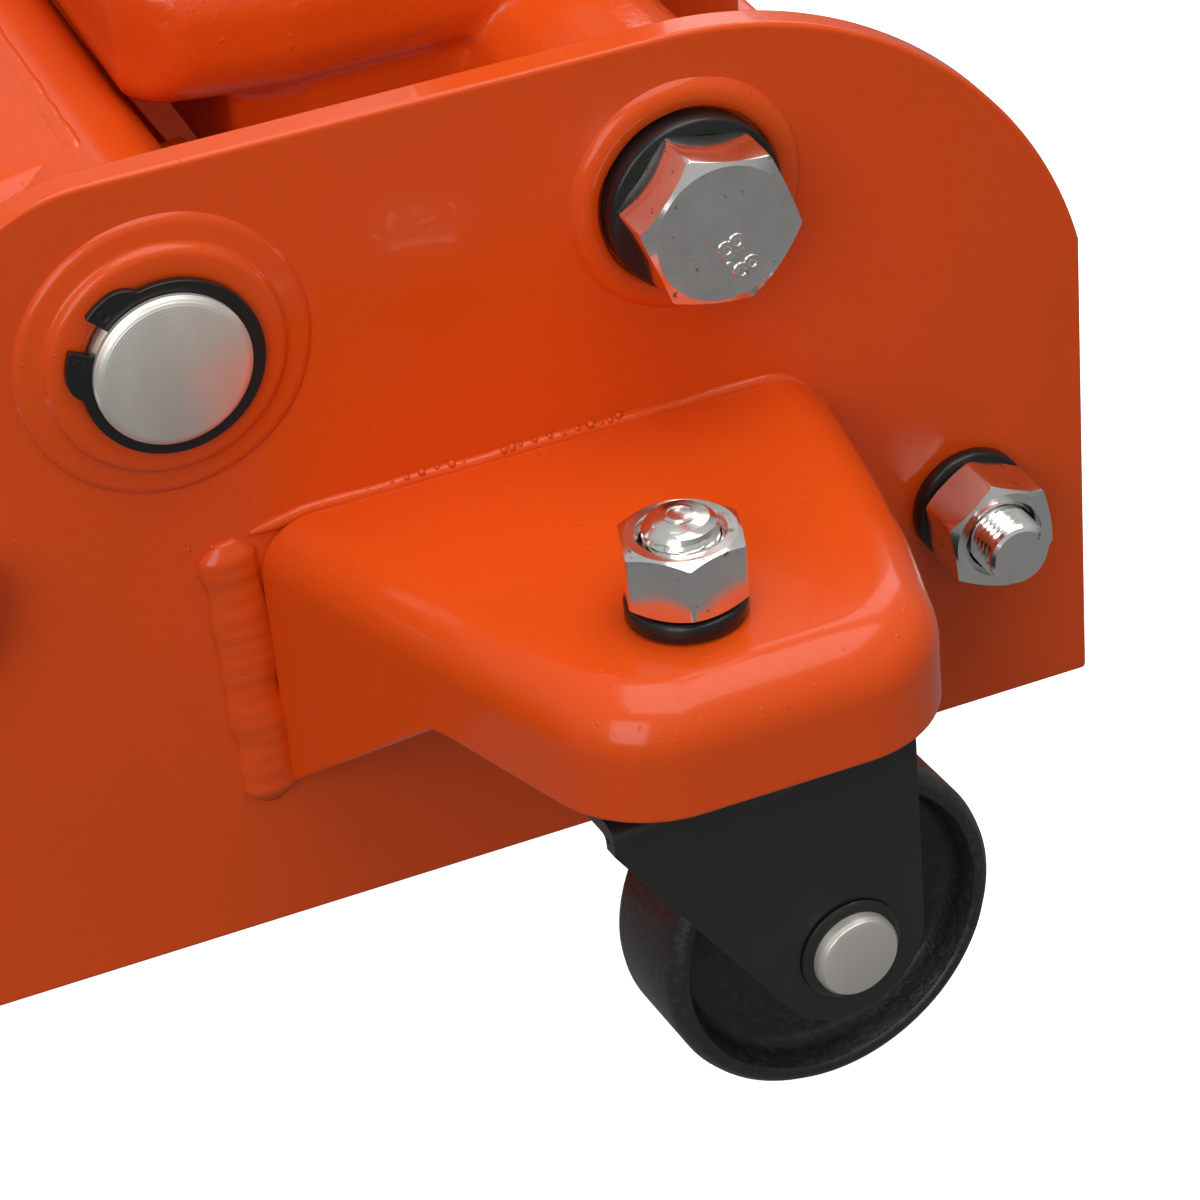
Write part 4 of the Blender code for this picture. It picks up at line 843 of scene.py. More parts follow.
def split_washer(name, node, place, outer, inner, thick, gap_at, body="chassis"):
    """A spring washer: a square-section ring, cut across on a slant and slightly sprung."""
    shape = Shape()
    rings = []
    steps = 72
    spring = 0.00035
    for i in range(steps + 1):
        angle = math.radians(gap_at + 3 + 354 * i / steps)
        lift = spring * (i / steps - 0.5)
        section = ((inner, 0.0003), (inner + 0.0003, 0.0), (outer - 0.0004, 0.0), (outer, 0.0004),
                   (outer, thick - 0.0004), (outer - 0.0004, thick), (inner + 0.0003, thick),
                   (inner, thick - 0.0003))
        rings.append(shape.ring([
            (r * math.cos(angle + (z - thick / 2) * 12), r * math.sin(angle + (z - thick / 2) * 12), z + lift)
            for r, z in section]))
    shape.skin(rings)
    shape.faces += [tuple(reversed(rings[0])), tuple(rings[-1])]
    return add_piece(name, shape, "oxide", body, place, (node,), sharp=50)


def build_unit_bolts():
    along = BOLT.y - PIVOT.y
    for mark, side in SIDES:
        place = outward(side, along, BOLT.z)
        turn = Matrix.Rotation(math.radians(109.8 if side > 0 else 70.2), 4, "Z")
        head = hex_body(0.024, 0.0053, 0.0153)
        shank = Shape().lathe([(0.0079, 0.0056), (0.0079, -0.030), (0.0068, -0.0415), (0.0, -0.0425)], 48)
        add_piece(f"unit_screw_{mark}", head, "zinc", "chassis", place @ turn, (f"unit_bolt_{mark}",),
                  sharp=SHARP_METAL)
        add_piece(f"unit_screw_shank_{mark}", shank, "zinc", "chassis", place)
        build_grade(mark, place)
        split_washer(f"spring_washer_{mark}", f"unit_bolt_washer_{mark}", place, 0.0146, 0.0088, 0.0049, 300)


def build_grade(mark, place):
    """The strength grade, raised on the bolt's head as small numerals."""
    text = bpy.data.curves.new("grade", "FONT")
    text.body = "8.8"
    text.size = 0.0068
    text.extrude = 0.00018
    text.bevel_depth = 0.00012
    text.bevel_resolution = 1
    text.resolution_u = 4
    text.align_x = "CENTER"
    text.align_y = "CENTER"
    drawn = bpy.data.objects.new("grade", text)
    bpy.context.scene.collection.objects.link(drawn)
    bpy.context.view_layer.update()
    mesh = bpy.data.meshes.new_from_object(drawn.evaluated_get(bpy.context.evaluated_depsgraph_get()))
    bpy.data.objects.remove(drawn)
    mesh.materials.clear()
    mesh.materials.append(FINISHES["zinc"].material)
    piece = bpy.data.objects.new(f"strength_grade_{mark}", mesh)
    bpy.context.scene.collection.objects.link(piece)
    piece.matrix_world = (place @ Matrix.Translation((0.0018, -0.0046, 0.0153))
                          @ Matrix.Rotation(math.radians(-62), 4, "Z"))
    settle(piece, "chassis")


def build_studs():
    work = bpy.context.scene.jack_metalwork
    along = STUD.y - PIVOT.y
    pitch, depth = work.thread_pitch, work.thread_depth
    for mark, side in SIDES:
        place = outward(side, along, STUD.z)
        high = 0.0200
        shape = Shape().lathe(stud_profile(0.0058, 0.010, high, pitch), 48, thread(pitch, depth, 0.010, high))
        add_piece(f"threaded_stud_{mark}", shape, "zinc", "chassis", place, (f"unit_stud_{mark}",),
                  sharp=SHARP_METAL)
        shank = Shape().lathe([(0.0056, 0.0105), (0.0056, -0.0398), (0.0, -0.0400)], 32)
        add_piece(f"stud_shank_{mark}", shank, "zinc", "chassis", place)
        nut = hex_body(NUT_FLATS, 0.0031, 0.0139, NUT_BORE, True)
        turn = Matrix.Rotation(math.radians(98 if side > 0 else 82), 4, "Z")
        add_piece(f"lug_nut_{mark}", nut, "zinc", "chassis", place @ turn, (f"stud_nut_{mark}",),
                  sharp=SHARP_METAL)
        split_washer(f"lug_washer_{mark}", f"stud_washer_{mark}", place, 0.0102, 0.0064, 0.0027, 300)


def build_link_bolts():
    along = LINK_BOLT.y - PIVOT.y
    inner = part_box("link_bolt_L")[0].x - FACE
    for mark, side in SIDES:
        place = outward(side, along, LINK_BOLT.z)
        head = hex_body(0.0235, 0.0003, 0.0098)
        turn = Matrix.Rotation(math.radians(15), 4, "Z")
        add_piece(f"link_screw_{mark}", head, "zinc", "chassis", place @ turn, (f"link_bolt_{mark}",),
                  sharp=SHARP_METAL)
        shank = Shape().lathe([(0.0069, 0.0006), (0.0069, inner + 0.001), (0.006, inner), (0.0, inner)], 48)
        add_piece(f"link_screw_shank_{mark}", shank, "zinc", "chassis", place)


def bracket_plan(inset, near):
    """The bracket's open outline as (out, along) points, with straight stretches evenly divided."""
    front, rear = 0.0095, 0.113
    nose_front, nose_rear, reach = 0.038, 0.093, 0.078
    slant_front = (nose_front - front) / reach
    slant_rear = (rear - nose_rear) / reach
    radius = 0.019 - inset * 0.75
    corners = [
        (near, front + inset + near * slant_front, 0.0),
        (reach - inset, nose_front + inset - inset * slant_front, radius),
        (reach - inset, nose_rear - inset + inset * slant_rear, radius),
        (near, rear - inset - near * slant_rear, 0.0),
    ]
    outline = rounded(corners, 14)
    points = [Vector(point) for point in outline]
    front_run = spread(points[0], points[1], 22)
    rear_run = spread(points[-2], points[-1], 22)
    nose = spread(points[15], points[16], 8)
    return front_run + points[2:15] + nose + points[17:-2] + rear_run


def bracket_shape(side):
    work = bpy.context.scene.jack_metalwork
    bend = work.bend_radius
    rows = []
    toe_reach, skirt, lean = 0.038, 0.070, 0.007

    def leaning(point, height):
        """Lean the rear wall outwards towards its foot, near the side plate."""
        rearward = max(0.0, (point.y - 0.075) / 0.038)
        nearness = max(0.0, 1 - point.x / 0.045)
        rise = max(0.0, min(1.0, (height - skirt) / (BRACKET_TOP - skirt)))
        return point.y - lean * rearward * nearness * rise

    def lowest(point):
        share = max(0.0, 1 - max(0.0, point.x) / toe_reach)
        return skirt - (skirt - BRACKET_LOW) * share

    for step in range(13):
        angle = math.radians(90 * step / 12)
        inset = bend * (1 - math.sin(angle))
        height = BRACKET_TOP - bend * (1 - math.cos(angle))
        rows.append([(p.x, leaning(p, height), height) for p in bracket_plan(inset, 0.0003)])
    base = bracket_plan(0.0, 0.0003)
    top = BRACKET_TOP - bend
    for step in range(1, 9):
        row = []
        for p in base:
            height = top + (lowest(p) - top) * step / 8
            row.append((p.x, leaning(p, height), height))
        rows.append(row)
    shape = Shape()
    mirror = 1.0 if side > 0 else -1.0
    rings = [shape.ring([(mirror * (FACE + x), PIVOT.y + y, z) for x, y, z in row]) for row in rows]
    shape.skin(rings, closed=False)
    shape.faces.append(tuple(rings[0]))
    return shape


def build_brackets():
    work = bpy.context.scene.jack_metalwork
    for mark, side in SIDES:
        add_piece(f"swivel_bracket_{mark}", bracket_shape(side), "paint", "chassis", None,
                  (f"caster_bracket_{mark}",), edge=0.0009, sharp=50, metal=work.bracket_metal)
        build_bracket_welds(mark, side, work)


def build_bracket_welds(mark, side, work):
    out = Vector((side, 0.0, 0.0))

    def spot(along, height, away=0.0):
        return Vector((side * (FACE + away), PIVOT.y + along, height))

    front = spread(spot(0.0050, 0.0890), spot(0.0066, 0.0385), 60)
    bead = bead_shape(front, out, work.weld_width, 0.0026, 3.0 + side, 0.08)
    add_piece(f"front_weld_{mark}", bead, "paint", "chassis", sharp=SHARP_WELD)
    top = spread(spot(0.0090, BRACKET_TOP - 0.0012), spot(0.018, BRACKET_TOP + 0.0002), 14)
    top += spread(spot(0.019, BRACKET_TOP + 0.0002), spot(0.094, BRACKET_TOP + 0.0002), 100)
    top += [spot(along, height) for along, height in arc((0.096, BRACKET_TOP - 0.0110), 0.0112, 85, 25, 12)]
    top += spread(spot(0.1072, 0.083), spot(0.1135, 0.0665), 22)
    ways = [(out + Vector((0.0, 0.0, 0.8))).normalized()] * len(top)
    bead = bead_shape(top, ways, 0.0024, 0.0011, 8.0 + side, 0.05)
    add_piece(f"top_weld_{mark}", bead, "paint", "chassis", sharp=SHARP_WELD)
    scatter = random.Random(f"spatter {mark}")
    shape = Shape()
    for start, end in ((0.033, 0.047), (0.052, 0.060), (0.060, 0.072)):
        along = start
        while along < end:
            add_drop(shape, spot(along, BRACKET_TOP + 0.0011 + scatter.uniform(-0.0003, 0.0004), 0.0004),
                     scatter.uniform(0.00035, 0.00075))
            along += scatter.uniform(0.0013, 0.0026)
    for along, height, reach in ((0.0028, 0.088, 0.006), (0.094, 0.089, 0.005), (0.006, 0.040, 0.005)):
        for _ in range(3):
            place = spot(along + scatter.uniform(-reach, reach),
                         height + scatter.uniform(-reach, reach) * 0.4)
            add_drop(shape, place, scatter.uniform(0.0003, 0.0006))
    add_piece(f"weld_spatter_{mark}", shape, "paint", "chassis", sharp=SHARP_WELD)


def add_drop(shape, centre, radius):
    """A small bead of spatter, as a low closed dome."""
    rings = [shape.ring([centre + Vector((0.0, 0.0, radius))])]
    for level in (0.6, 0.0, -0.6):
        reach = radius * math.sqrt(1 - level * level)
        rings.append(shape.ring([
            centre + Vector((reach * math.cos(angle), reach * math.sin(angle), level * radius))
            for angle in (math.tau * i / 8 for i in range(8))]))
    rings.append(shape.ring([centre - Vector((0.0, 0.0, radius))]))
    shape.skin(rings)


def build_casters():
    work = bpy.context.scene.jack_metalwork
    pitch, depth = work.thread_pitch, work.thread_depth
    for mark, side in SIDES:
        word = "left" if side > 0 else "right"
        axis = Matrix.Translation((side * STEM.x, STEM.y, 0.0))
        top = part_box(f"caster_stem_{mark}")[1].z
        nut_low, nut_high = (corner.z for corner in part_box(f"caster_nut_{mark}"))
        washer_low, washer_high = (corner.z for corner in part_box(f"caster_washer_{mark}"))
        stem = Shape().lathe(stud_profile(0.0059, 0.0600, top - 0.0010, pitch, 0.0010), 48,
                             thread(pitch, depth, nut_low + 0.004, top - 0.0010))
        add_piece(f"swivel_stem_{mark}", stem, "zinc", "chassis", axis, (f"caster_stem_{mark}",),
                  sharp=SHARP_METAL)
        crown = [(0.0020, top + 0.00005), (0.0026, top - 0.0001), (0.0020, top - 0.0008),
                 (0.0016, top - 0.0004)]
        add_piece(f"stem_centre_{mark}", Shape().lathe(crown, 32, loop=True), "zinc", "chassis", axis)
        nut = hex_body(NUT_FLATS, nut_low, nut_high, NUT_BORE, True)
        turn = Matrix.Rotation(math.radians(side * 14 + 30), 4, "Z")
        add_piece(f"swivel_nut_{mark}", nut, "zinc", "chassis", axis @ turn, (f"caster_nut_{mark}",),
                  sharp=SHARP_METAL)
        split_washer(f"swivel_washer_{mark}", f"caster_washer_{mark}",
                     axis @ Matrix.Translation((0.0, 0.0, washer_low)), 0.0094, 0.0062,
                     washer_high - washer_low, 160)
        low, high = (corner.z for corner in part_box(f"caster_race_{mark}"))
        half = (low + high) / 2
        race = [(0.0130, high), (0.0142, high), (0.0158, high - 0.0010), (0.0165, high - 0.0030),
                (0.0165, half + 0.0010), (0.0160, half + 0.0004), (0.0142, half + 0.0002),
                (0.0142, half - 0.0002), (0.0160, half - 0.0004), (0.0165, half - 0.0010),
                (0.0165, low + 0.0030), (0.0158, low + 0.0010), (0.0142, low), (0.0130, low)]
        add_piece(f"swivel_race_{mark}", Shape().lathe(race, 72, loop=True), "black", "chassis", axis,
                  (f"caster_race_{mark}",))
        build_fork(mark, side, word, axis)


def build_fork(mark, side, word, axis):
    """A fork pressed from one sheet, its wheel and the rivet that the wheel turns on."""
    swivel = axis @ Matrix.Rotation(side * math.radians(4.8), 4, "Z")
    trail, axle_height = 0.0164, 0.029
    wide, metal, top, bend = 0.0145, 0.0029, 0.0677, 0.0042
    tip, front = 0.0135, -0.022
    slope = Vector((trail - front, axle_height - top))
    lean = math.atan2(slope.y, slope.x) - math.asin(tip / slope.length)
    touch = Vector((trail + tip * math.sin(lean), axle_height - tip * math.cos(lean)))

    def lowest(along):
        if along <= touch.x:
            share = (along - front) / (touch.x - front)
            return (top - bend - 0.001) * (1 - share) + touch.y * share
        return axle_height - math.sqrt(max(0.0, tip ** 2 - (along - trail) ** 2))

    stations = [front + (touch.x - front) * i / 14 for i in range(15)]
    end_angle = math.asin(max(-1.0, min(1.0, (touch.x - trail) / tip)))
    stations += [trail + tip * math.sin(end_angle + (math.pi / 2 - end_angle) * i / 12) for i in range(1, 13)]
    shape = Shape()
    rings = []
    for along in stations:
        low = lowest(along)
        section = [(wide, low + (top - bend - low) * i / 6) for i in range(7)]
        section += arc((wide - bend, top - bend), bend, 0, 90, 6)[1:]
        section += [(x, top) for x in (wide / 3, 0.0, -wide / 3)]
        section += [(-x, z) for x, z in reversed(section[:13])]
        rings.append(shape.ring([(x, along, z) for x, z in section]))
    shape.skin(rings, closed=False)
    add_piece(f"swivel_fork_{mark}", shape, "black", f"caster_{word}", swivel, (f"caster_fork_{mark}",),
              edge=0.0007, sharp=45, metal=metal)
    plate = [(0.0062, top - 0.0002), (0.0172, top - 0.0002), (0.0180, top - 0.0008), (0.0180, top - 0.0030),
             (0.0172, top - 0.0037), (0.0062, top - 0.0037)]
    add_piece(f"fork_crown_{mark}", Shape().lathe(plate, 72, loop=True), "black", f"caster_{word}", swivel)

    wheel_place = swivel @ across(Vector((0.0, trail, axle_height)))
    head = 0.0148
    rivet = [(0.0, head + 0.0034), (0.0056, head + 0.0034), (0.0066, head + 0.0030),
             (0.0071, head + 0.0022), (0.0072, head), (0.0060, head)]
    add_piece(f"wheel_rivet_{mark}", Shape().lathe(mirrored(rivet), 64), "turned", f"caster_{word}",
              wheel_place, (f"caster_axle_{mark}",))
    collar = [(0.0061, head - 0.0003), (0.0080, head - 0.0003), (0.0088, head + 0.0001),
              (0.0087, head + 0.0003), (0.0080, head + 0.0007), (0.0073, head + 0.0009),
              (0.0061, head + 0.0009)]
    for number, hand in enumerate((1, -1)):
        turned = Matrix.Rotation(math.radians(0 if hand > 0 else 180), 4, "Y")
        add_piece(f"rivet_collar_{mark}_{number}", Shape().lathe(collar, 48, loop=True), "black",
                  f"caster_{word}", wheel_place @ turned)
    half, rim, hub = 0.010, 0.029, 0.011
    upper = [(0.0064, half + 0.0010), (hub - 0.001, half + 0.0010), (hub, half + 0.0003),
             (hub + 0.0004, half - 0.004), (hub + 0.0016, half - 0.0062), (hub + 0.0032, half - 0.0066),
             (rim - 0.0062, half - 0.0064), (rim - 0.0050, half - 0.0058), (rim - 0.0040, half - 0.0040),
             (rim - 0.0034, half - 0.0006), (rim - 0.0030, half - 0.0001), (rim - 0.0022, half),
             (rim - 0.0014, half - 0.0002), (rim - 0.0003, half - 0.0016), (rim, half - 0.0026)]
    shape = Shape().lathe(mirrored(upper), 120, uneven(0.00012), loop=True)
    add_piece(f"caster_roller_{mark}", shape, "iron", f"caster_wheel_{word}", wheel_place,
              (f"caster_wheel_{mark}",), sharp=50)


def build_front_wheels():
    height = FRONT_AXLE.z
    centre = Vector((0.0, PIVOT.y + FRONT_AXLE.y, height))
    reach, head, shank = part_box("front_axle")[1].x, 0.0135, 0.0098
    end = [(0.0, reach), (head - 0.0022, reach), (head - 0.0008, reach - 0.0006), (head, reach - 0.0020),
           (head, reach - 0.0052), (head - 0.0004, reach - 0.0055), (shank, reach - 0.0055)]
    shape = Shape().lathe(mirrored(end), 72)
    add_piece("front_axle_bar", shape, "turned", "chassis", across(centre), ("front_axle",))
    rim = height
    for mark, side in SIDES:
        word = "left" if side > 0 else "right"
        wheel_low, wheel_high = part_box(f"front_wheel_{mark}")
        half = (wheel_high.x - wheel_low.x) / 2
        upper = [(0.0104, half - 0.0001), (0.0160, half - 0.0001), (0.0168, half - 0.0008),
                 (0.0172, half - 0.0060), (0.0186, half - 0.0085), (0.0205, half - 0.0090),
                 (rim - 0.0090, half - 0.0088), (rim - 0.0070, half - 0.0078), (rim - 0.0058, half - 0.0050),
                 (rim - 0.0052, half - 0.0006), (rim - 0.0046, half), (rim - 0.0026, half),
                 (rim - 0.0004, half - 0.0022), (rim, half - 0.0036)]
        shape = Shape().lathe(mirrored(upper), 120, uneven(0.00012), loop=True)
        place = across(Vector(((wheel_low.x + wheel_high.x) / 2, centre.y, height)))
        add_piece(f"front_roller_{mark}", shape, "iron", f"front_wheel_{word}", place,
                  (f"front_wheel_{mark}",), sharp=50)


def arm_frame():
    """The lift arm's own frame: local X across the jack, local Y towards the saddle, local Z up."""
    way = (SEAT - PIVOT).normalized()
    side = Vector((-1.0, 0.0, 0.0))
    up = side.cross(way)
    turn = Matrix((side, way, up)).transposed()
    return Matrix.Translation(PIVOT) @ turn.to_4x4(), (SEAT - PIVOT).length


def build_lift_arm():
    place, length = arm_frame()
    hub, metal, bend = 0.0185, 0.005, 0.0085
    short = 0.064
    tube = Shape().lathe(mirrored([(0.0128, 0.102), (hub - 0.0010, 0.102), (hub, 0.1010)]), 96, loop=True)
    add_piece("arm_hub", tube, "paint", "lift_arm", across(PIVOT), ("lift_arm",))

    def half_width(along):
        share = max(0.0, min(1.0, (along - 0.070) / 0.120))
        return 0.080 - 0.022 * share * share * (3 - 2 * share)

    shape = Shape()
    rings = []
    stations = [-0.004, 0.0] + [0.012 * i for i in range(1, 27)] + [length - short]
    for along in stations:
        half = half_width(along)
        depth = 0.013 * min(1.0, 0.35 + max(0.0, along) / 0.03)
        drop = 0.0 if along >= 0 else 0.0008
        section = [(half, hub - bend - depth * (1 - i / 3)) for i in range(4)]
        section += arc((half - bend, hub - bend), bend, 0, 90, 8)[1:]
        section += [(half * share, hub) for share in (0.5, 0.0)]
        section += [(-x, z) for x, z in reversed(section[:-1])]
        rings.append(shape.ring([(x, along, z - drop) for x, z in section]))
    shape.skin(rings, closed=False)
    add_piece("arm_deck", shape, "paint", "lift_arm", place, edge=0.0008, sharp=50, metal=metal)

    upright = place @ Matrix(((0.0, 0.0, 1.0, 0.0), (1.0, 0.0, 0.0, 0.0), (0.0, 1.0, 0.0, 0.0), (0, 0, 0, 1)))
    web = arc((0.0, 0.0), hub - metal / 2 - 0.0005, 180, 90, 10)
    web += arc((length, 0.0), 0.017, 90, -90, 24)
    web += arc((0.0, 0.0), 0.024, 270, 180, 12)
    angle = math.radians(-90 + 31.0)
    foot = (0.0689 * math.cos(angle), 0.0689 * math.sin(angle))
    lever = wrapped([(0.0, 0.0, hub - 0.001), (*foot, 0.014)])
    for mark, side in SIDES:
        low = side * 0.050 - 0.004
        add_piece(f"arm_web_{mark}", Shape().prism(web, low, low + 0.008), "paint", "lift_arm", upright,
                  edge=0.001)
        low = side * 0.0225 - 0.004
        add_piece(f"arm_lever_{mark}", Shape().prism(lever, low, low + 0.008), "paint", "lift_arm",
                  across(PIVOT), edge=0.001)
        post_place = place @ Matrix.Translation((-side * 0.062, 0.070, -0.010))
        post = [(0.0, 0.010), (0.0030, 0.010), (0.0046, 0.0094), (0.0048, 0.0080), (0.0040, 0.0072),
                (0.0040, -0.010), (0.0, -0.010)]
        facing = Matrix.Rotation(math.radians(-90 * side), 4, "Y")
        add_piece(f"spring_post_{mark}", Shape().lathe(post, 32), "zinc", "lift_arm", post_place @ facing)
    rear = spread(Vector((-0.076, -0.0015, hub - 0.0006)), Vector((0.076, -0.0015, hub - 0.0006)), 160)
    bead = bead_shape(rear, Vector((0.0, 0.0, 1.0)), 0.0040, 0.0009, 21.0, 0.05)
    add_piece("deck_weld", bead, "paint", "lift_arm", place, sharp=SHARP_WELD)
    for mark, side in SIDES:
        seam = spread(Vector((side * 0.0448, 0.030, hub - metal - 0.0010)),
                      Vector((side * 0.0448, 0.300, hub - metal - 0.0010)), 90)
        bead = bead_shape(seam, Vector((-side * 0.7, 0.0, -0.7)), 0.0050, 0.0022, 30 + side)
        add_piece(f"web_weld_{mark}", bead, "paint", "lift_arm", place, sharp=SHARP_WELD)


def build_saddle():
    soften("saddle_seat_casting", "saddle_seat", "cast_paint", "seat", 0.0011)
    pin_across("seat_cross_pin", "seat_pin", "zinc", "lift_arm")
    pin_across("link_cross_pin", "link_pin", "zinc", "seat")
    low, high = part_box("saddle")
    radius = (high.x - low.x) / 2
    base = low.z
    rim = high.z
    floor = 0.1163

    def teeth(angle, height, r):
        """Shallow notches round the lip, which grip a lifting point."""
        if height < floor + 0.004 or r < radius - 0.010:
            return 0.0
        return -0.0016 * max(0.0, math.cos(angle * 12)) ** 6

    profile = [(0.0, base), (0.0110, base), (0.0118, base + 0.0010), (0.0120, 0.1083), (0.0260, 0.1083),
               (radius - 0.004, 0.1083), (radius - 0.001, 0.1092), (radius, 0.1110), (radius, rim - 0.0030),
               (radius - 0.0006, rim - 0.0008), (radius - 0.0020, rim), (radius - 0.0060, rim),
               (radius - 0.0076, rim - 0.0008), (radius - 0.0080, rim - 0.0030), (radius - 0.0082, floor),
               (0.0, floor)]
    add_piece("saddle_cup", Shape().lathe(profile, 144, teeth), "cast_paint", "saddle",
              Matrix.Translation((SADDLE.x, SADDLE.y, 0.0)), ("saddle",), sharp=40)
    pad_low, pad_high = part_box("saddle_pad")
    pad = (pad_high.x - pad_low.x) / 2

    def grooves(angle, height, r):
        return -0.0004 * (math.cos(angle * 40) > 0.4) if r > pad - 0.001 else 0.0

    top = pad_high.z
    profile = [(0.0, pad_low.z), (pad - 0.001, pad_low.z), (pad, pad_low.z + 0.001), (pad, top - 0.0020),
               (pad - 0.0008, top - 0.0006), (pad - 0.0024, top)]
    for ring in range(4):
        outer = pad - 0.0070 - ring * 0.0085
        profile += [(outer + 0.0012, top), (outer + 0.0006, top - 0.0012), (outer - 0.0006, top - 0.0012),
                    (outer - 0.0012, top)]
    profile.append((0.0, top))
    add_piece("saddle_cushion", Shape().lathe(profile, 120, grooves), "rubber", "saddle",
              Matrix.Translation((SADDLE.x, SADDLE.y, 0.0)), ("saddle_pad",), sharp=40)


def pin_across(name, node, finish, body):
    low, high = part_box(node)
    radius = (high.z - low.z) / 2
    half = (high.x - low.x) / 2
    end = [(0.0, half), (radius - 0.0014, half), (radius - 0.0004, half - 0.0005), (radius, half - 0.0014)]
    shape = Shape().lathe(mirrored(end), 56)
    return add_piece(name, shape, finish, body, across((low + high) / 2), (node,))


def build_links():
    for mark, word in (("L", "left"), ("R", "right")):
        edged(f"level_link_{mark}", f"levelling_link_{mark}", "zinc", f"link_{word}", 0.0009)


def build_hydraulics():
    soften("pump_casting", "power_unit_casting", "cast_paint", "chassis", 0.0011, 7)
    low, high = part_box("ram")
    radius = (high.x - low.x) / 2
    back = Matrix.Rotation(math.radians(-90), 4, "X")
    spot = Vector(((low.x + high.x) / 2, 0.0, (low.z + high.z) / 2))
    ram = [(0.0, low.y), (radius - 0.002, low.y), (radius, low.y + 0.002), (radius, high.y - 0.001),
           (radius - 0.001, high.y), (0.0, high.y)]
    add_piece("ram_rod", Shape().lathe(ram, 72), "chrome", "ram", Matrix.Translation(spot) @ back, ("ram",))
    low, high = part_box("ram_cylinder")
    outer = (high.x - low.x) / 2
    gland = [(radius + 0.0003, low.y), (outer - 0.004, low.y), (outer - 0.0025, low.y + 0.0012),
             (outer - 0.0025, low.y + 0.008), (outer, low.y + 0.010), (outer, high.y - 0.0015),
             (outer - 0.0015, high.y), (radius + 0.0003, high.y)]
    add_piece("ram_barrel", Shape().lathe(gland, 96, loop=True), "paint", "chassis",
              Matrix.Translation(spot) @ back, ("ram_cylinder",))
    low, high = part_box("pump_plunger")
    radius = (high.x - low.x) / 2
    centre = (low + high) / 2
    rod = [(0.0, high.z), (radius - 0.002, high.z), (radius, high.z - 0.002), (radius, low.z + 0.001),
           (radius - 0.001, low.z), (0.0, low.z)]
    add_piece("pump_rod", Shape().lathe(rod, 56), "chrome", "plunger",
              Matrix.Translation((centre.x, centre.y, 0.0)), ("pump_plunger",))
    collar = [(radius + 0.0004, 0.1502), (radius + 0.0036, 0.1502), (radius + 0.0036, 0.1512),
              (radius + 0.0030, 0.1520), (radius + 0.0010, 0.1522), (radius + 0.0004, 0.1516)]
    add_piece("pump_seal", Shape().lathe(collar, 56, loop=True), "rubber", "chassis",
              Matrix.Translation((centre.x, centre.y, 0.0)))
    for node, finish in (("yoke_pin_L", "zinc"), ("yoke_pin_R", "zinc"), ("ram_roller", "turned"),
                         ("pump_roller", "turned"), ("release_valve", "zinc")):
        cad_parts[node].data.materials.clear()
        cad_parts[node].data.materials.append(FINISHES[finish].material)


def build_handle():
    soften("yoke_casting", "handle_yoke", "cast_paint", "yoke", 0.0010)
    foot = Vector((0.0, YOKE_ALONG + PIVOT.y, YOKE_HEIGHT))
    way = Vector((0.0, math.cos(HANDLE_SLOPE), math.sin(HANDLE_SLOPE)))
    sideways = Vector((1.0, 0.0, 0.0))
    turn = Matrix((sideways, way.cross(sideways), way)).transposed()
    place = Matrix.Translation(foot) @ turn.to_4x4()
    lower = [(0.0, 0.009), (0.004, 0.009), (0.005, 0.010), (0.005, 0.030), (0.016, 0.032), (0.016, 0.486),
             (0.0166, 0.487), (0.0166, 0.4985), (0.0160, 0.500), (0.0136, 0.500), (0.0134, 0.062),
             (0.0, 0.062)]
    add_piece("handle_lower", Shape().lathe(lower, 72), "paint", "handle", place, ("handle_tube",))
    upper = [(0.0109, 0.930), (0.0129, 0.930), (0.0132, 0.9295), (0.0132, 0.4205), (0.0109, 0.420)]
    add_piece("handle_upper", Shape().lathe(upper, 72, loop=True), "paint", "handle", place,
              ("handle_upper_tube",))
    grip = [(0.0, 0.9403), (0.0120, 0.9403), (0.0152, 0.9395), (0.0168, 0.9370), (0.0170, 0.9340)]
    along = 0.932
    while along > 0.806:
        grip += [(0.0170, along), (0.0168, along - 0.0006), (0.0158, along - 0.0009),
                 (0.0158, along - 0.0021), (0.0168, along - 0.0024), (0.0170, along - 0.0030)]
        along -= 0.0045
    grip += [(0.0172, 0.8000), (0.0172, 0.7930), (0.0165, 0.7905), (0.0136, 0.7900), (0.0136, 0.9303),
             (0.0, 0.9303)]

    def flutes(angle, height, r):
        if r < 0.0165 or height < 0.803 or height > 0.934:
            return 0.0
        return -0.00045 * max(0.0, math.cos(angle * 14)) ** 2

    add_piece("handle_sleeve", Shape().lathe(grip, 112, flutes), "rubber", "handle", place,
              ("handle_grip",), sharp=50)
    button = [(0.0, 0.0020), (0.0024, 0.0019), (0.0034, 0.0010), (0.0036, -0.0010), (0.0, -0.0012)]
    side = place @ Matrix.Translation((0.0, 0.0, 0.478)) @ Matrix.Rotation(math.radians(90), 4, "Y")
    add_piece("joint_button", Shape().lathe(button, 32), "zinc", "handle",
              side @ Matrix.Translation((0.0, 0.0, 0.0160)))


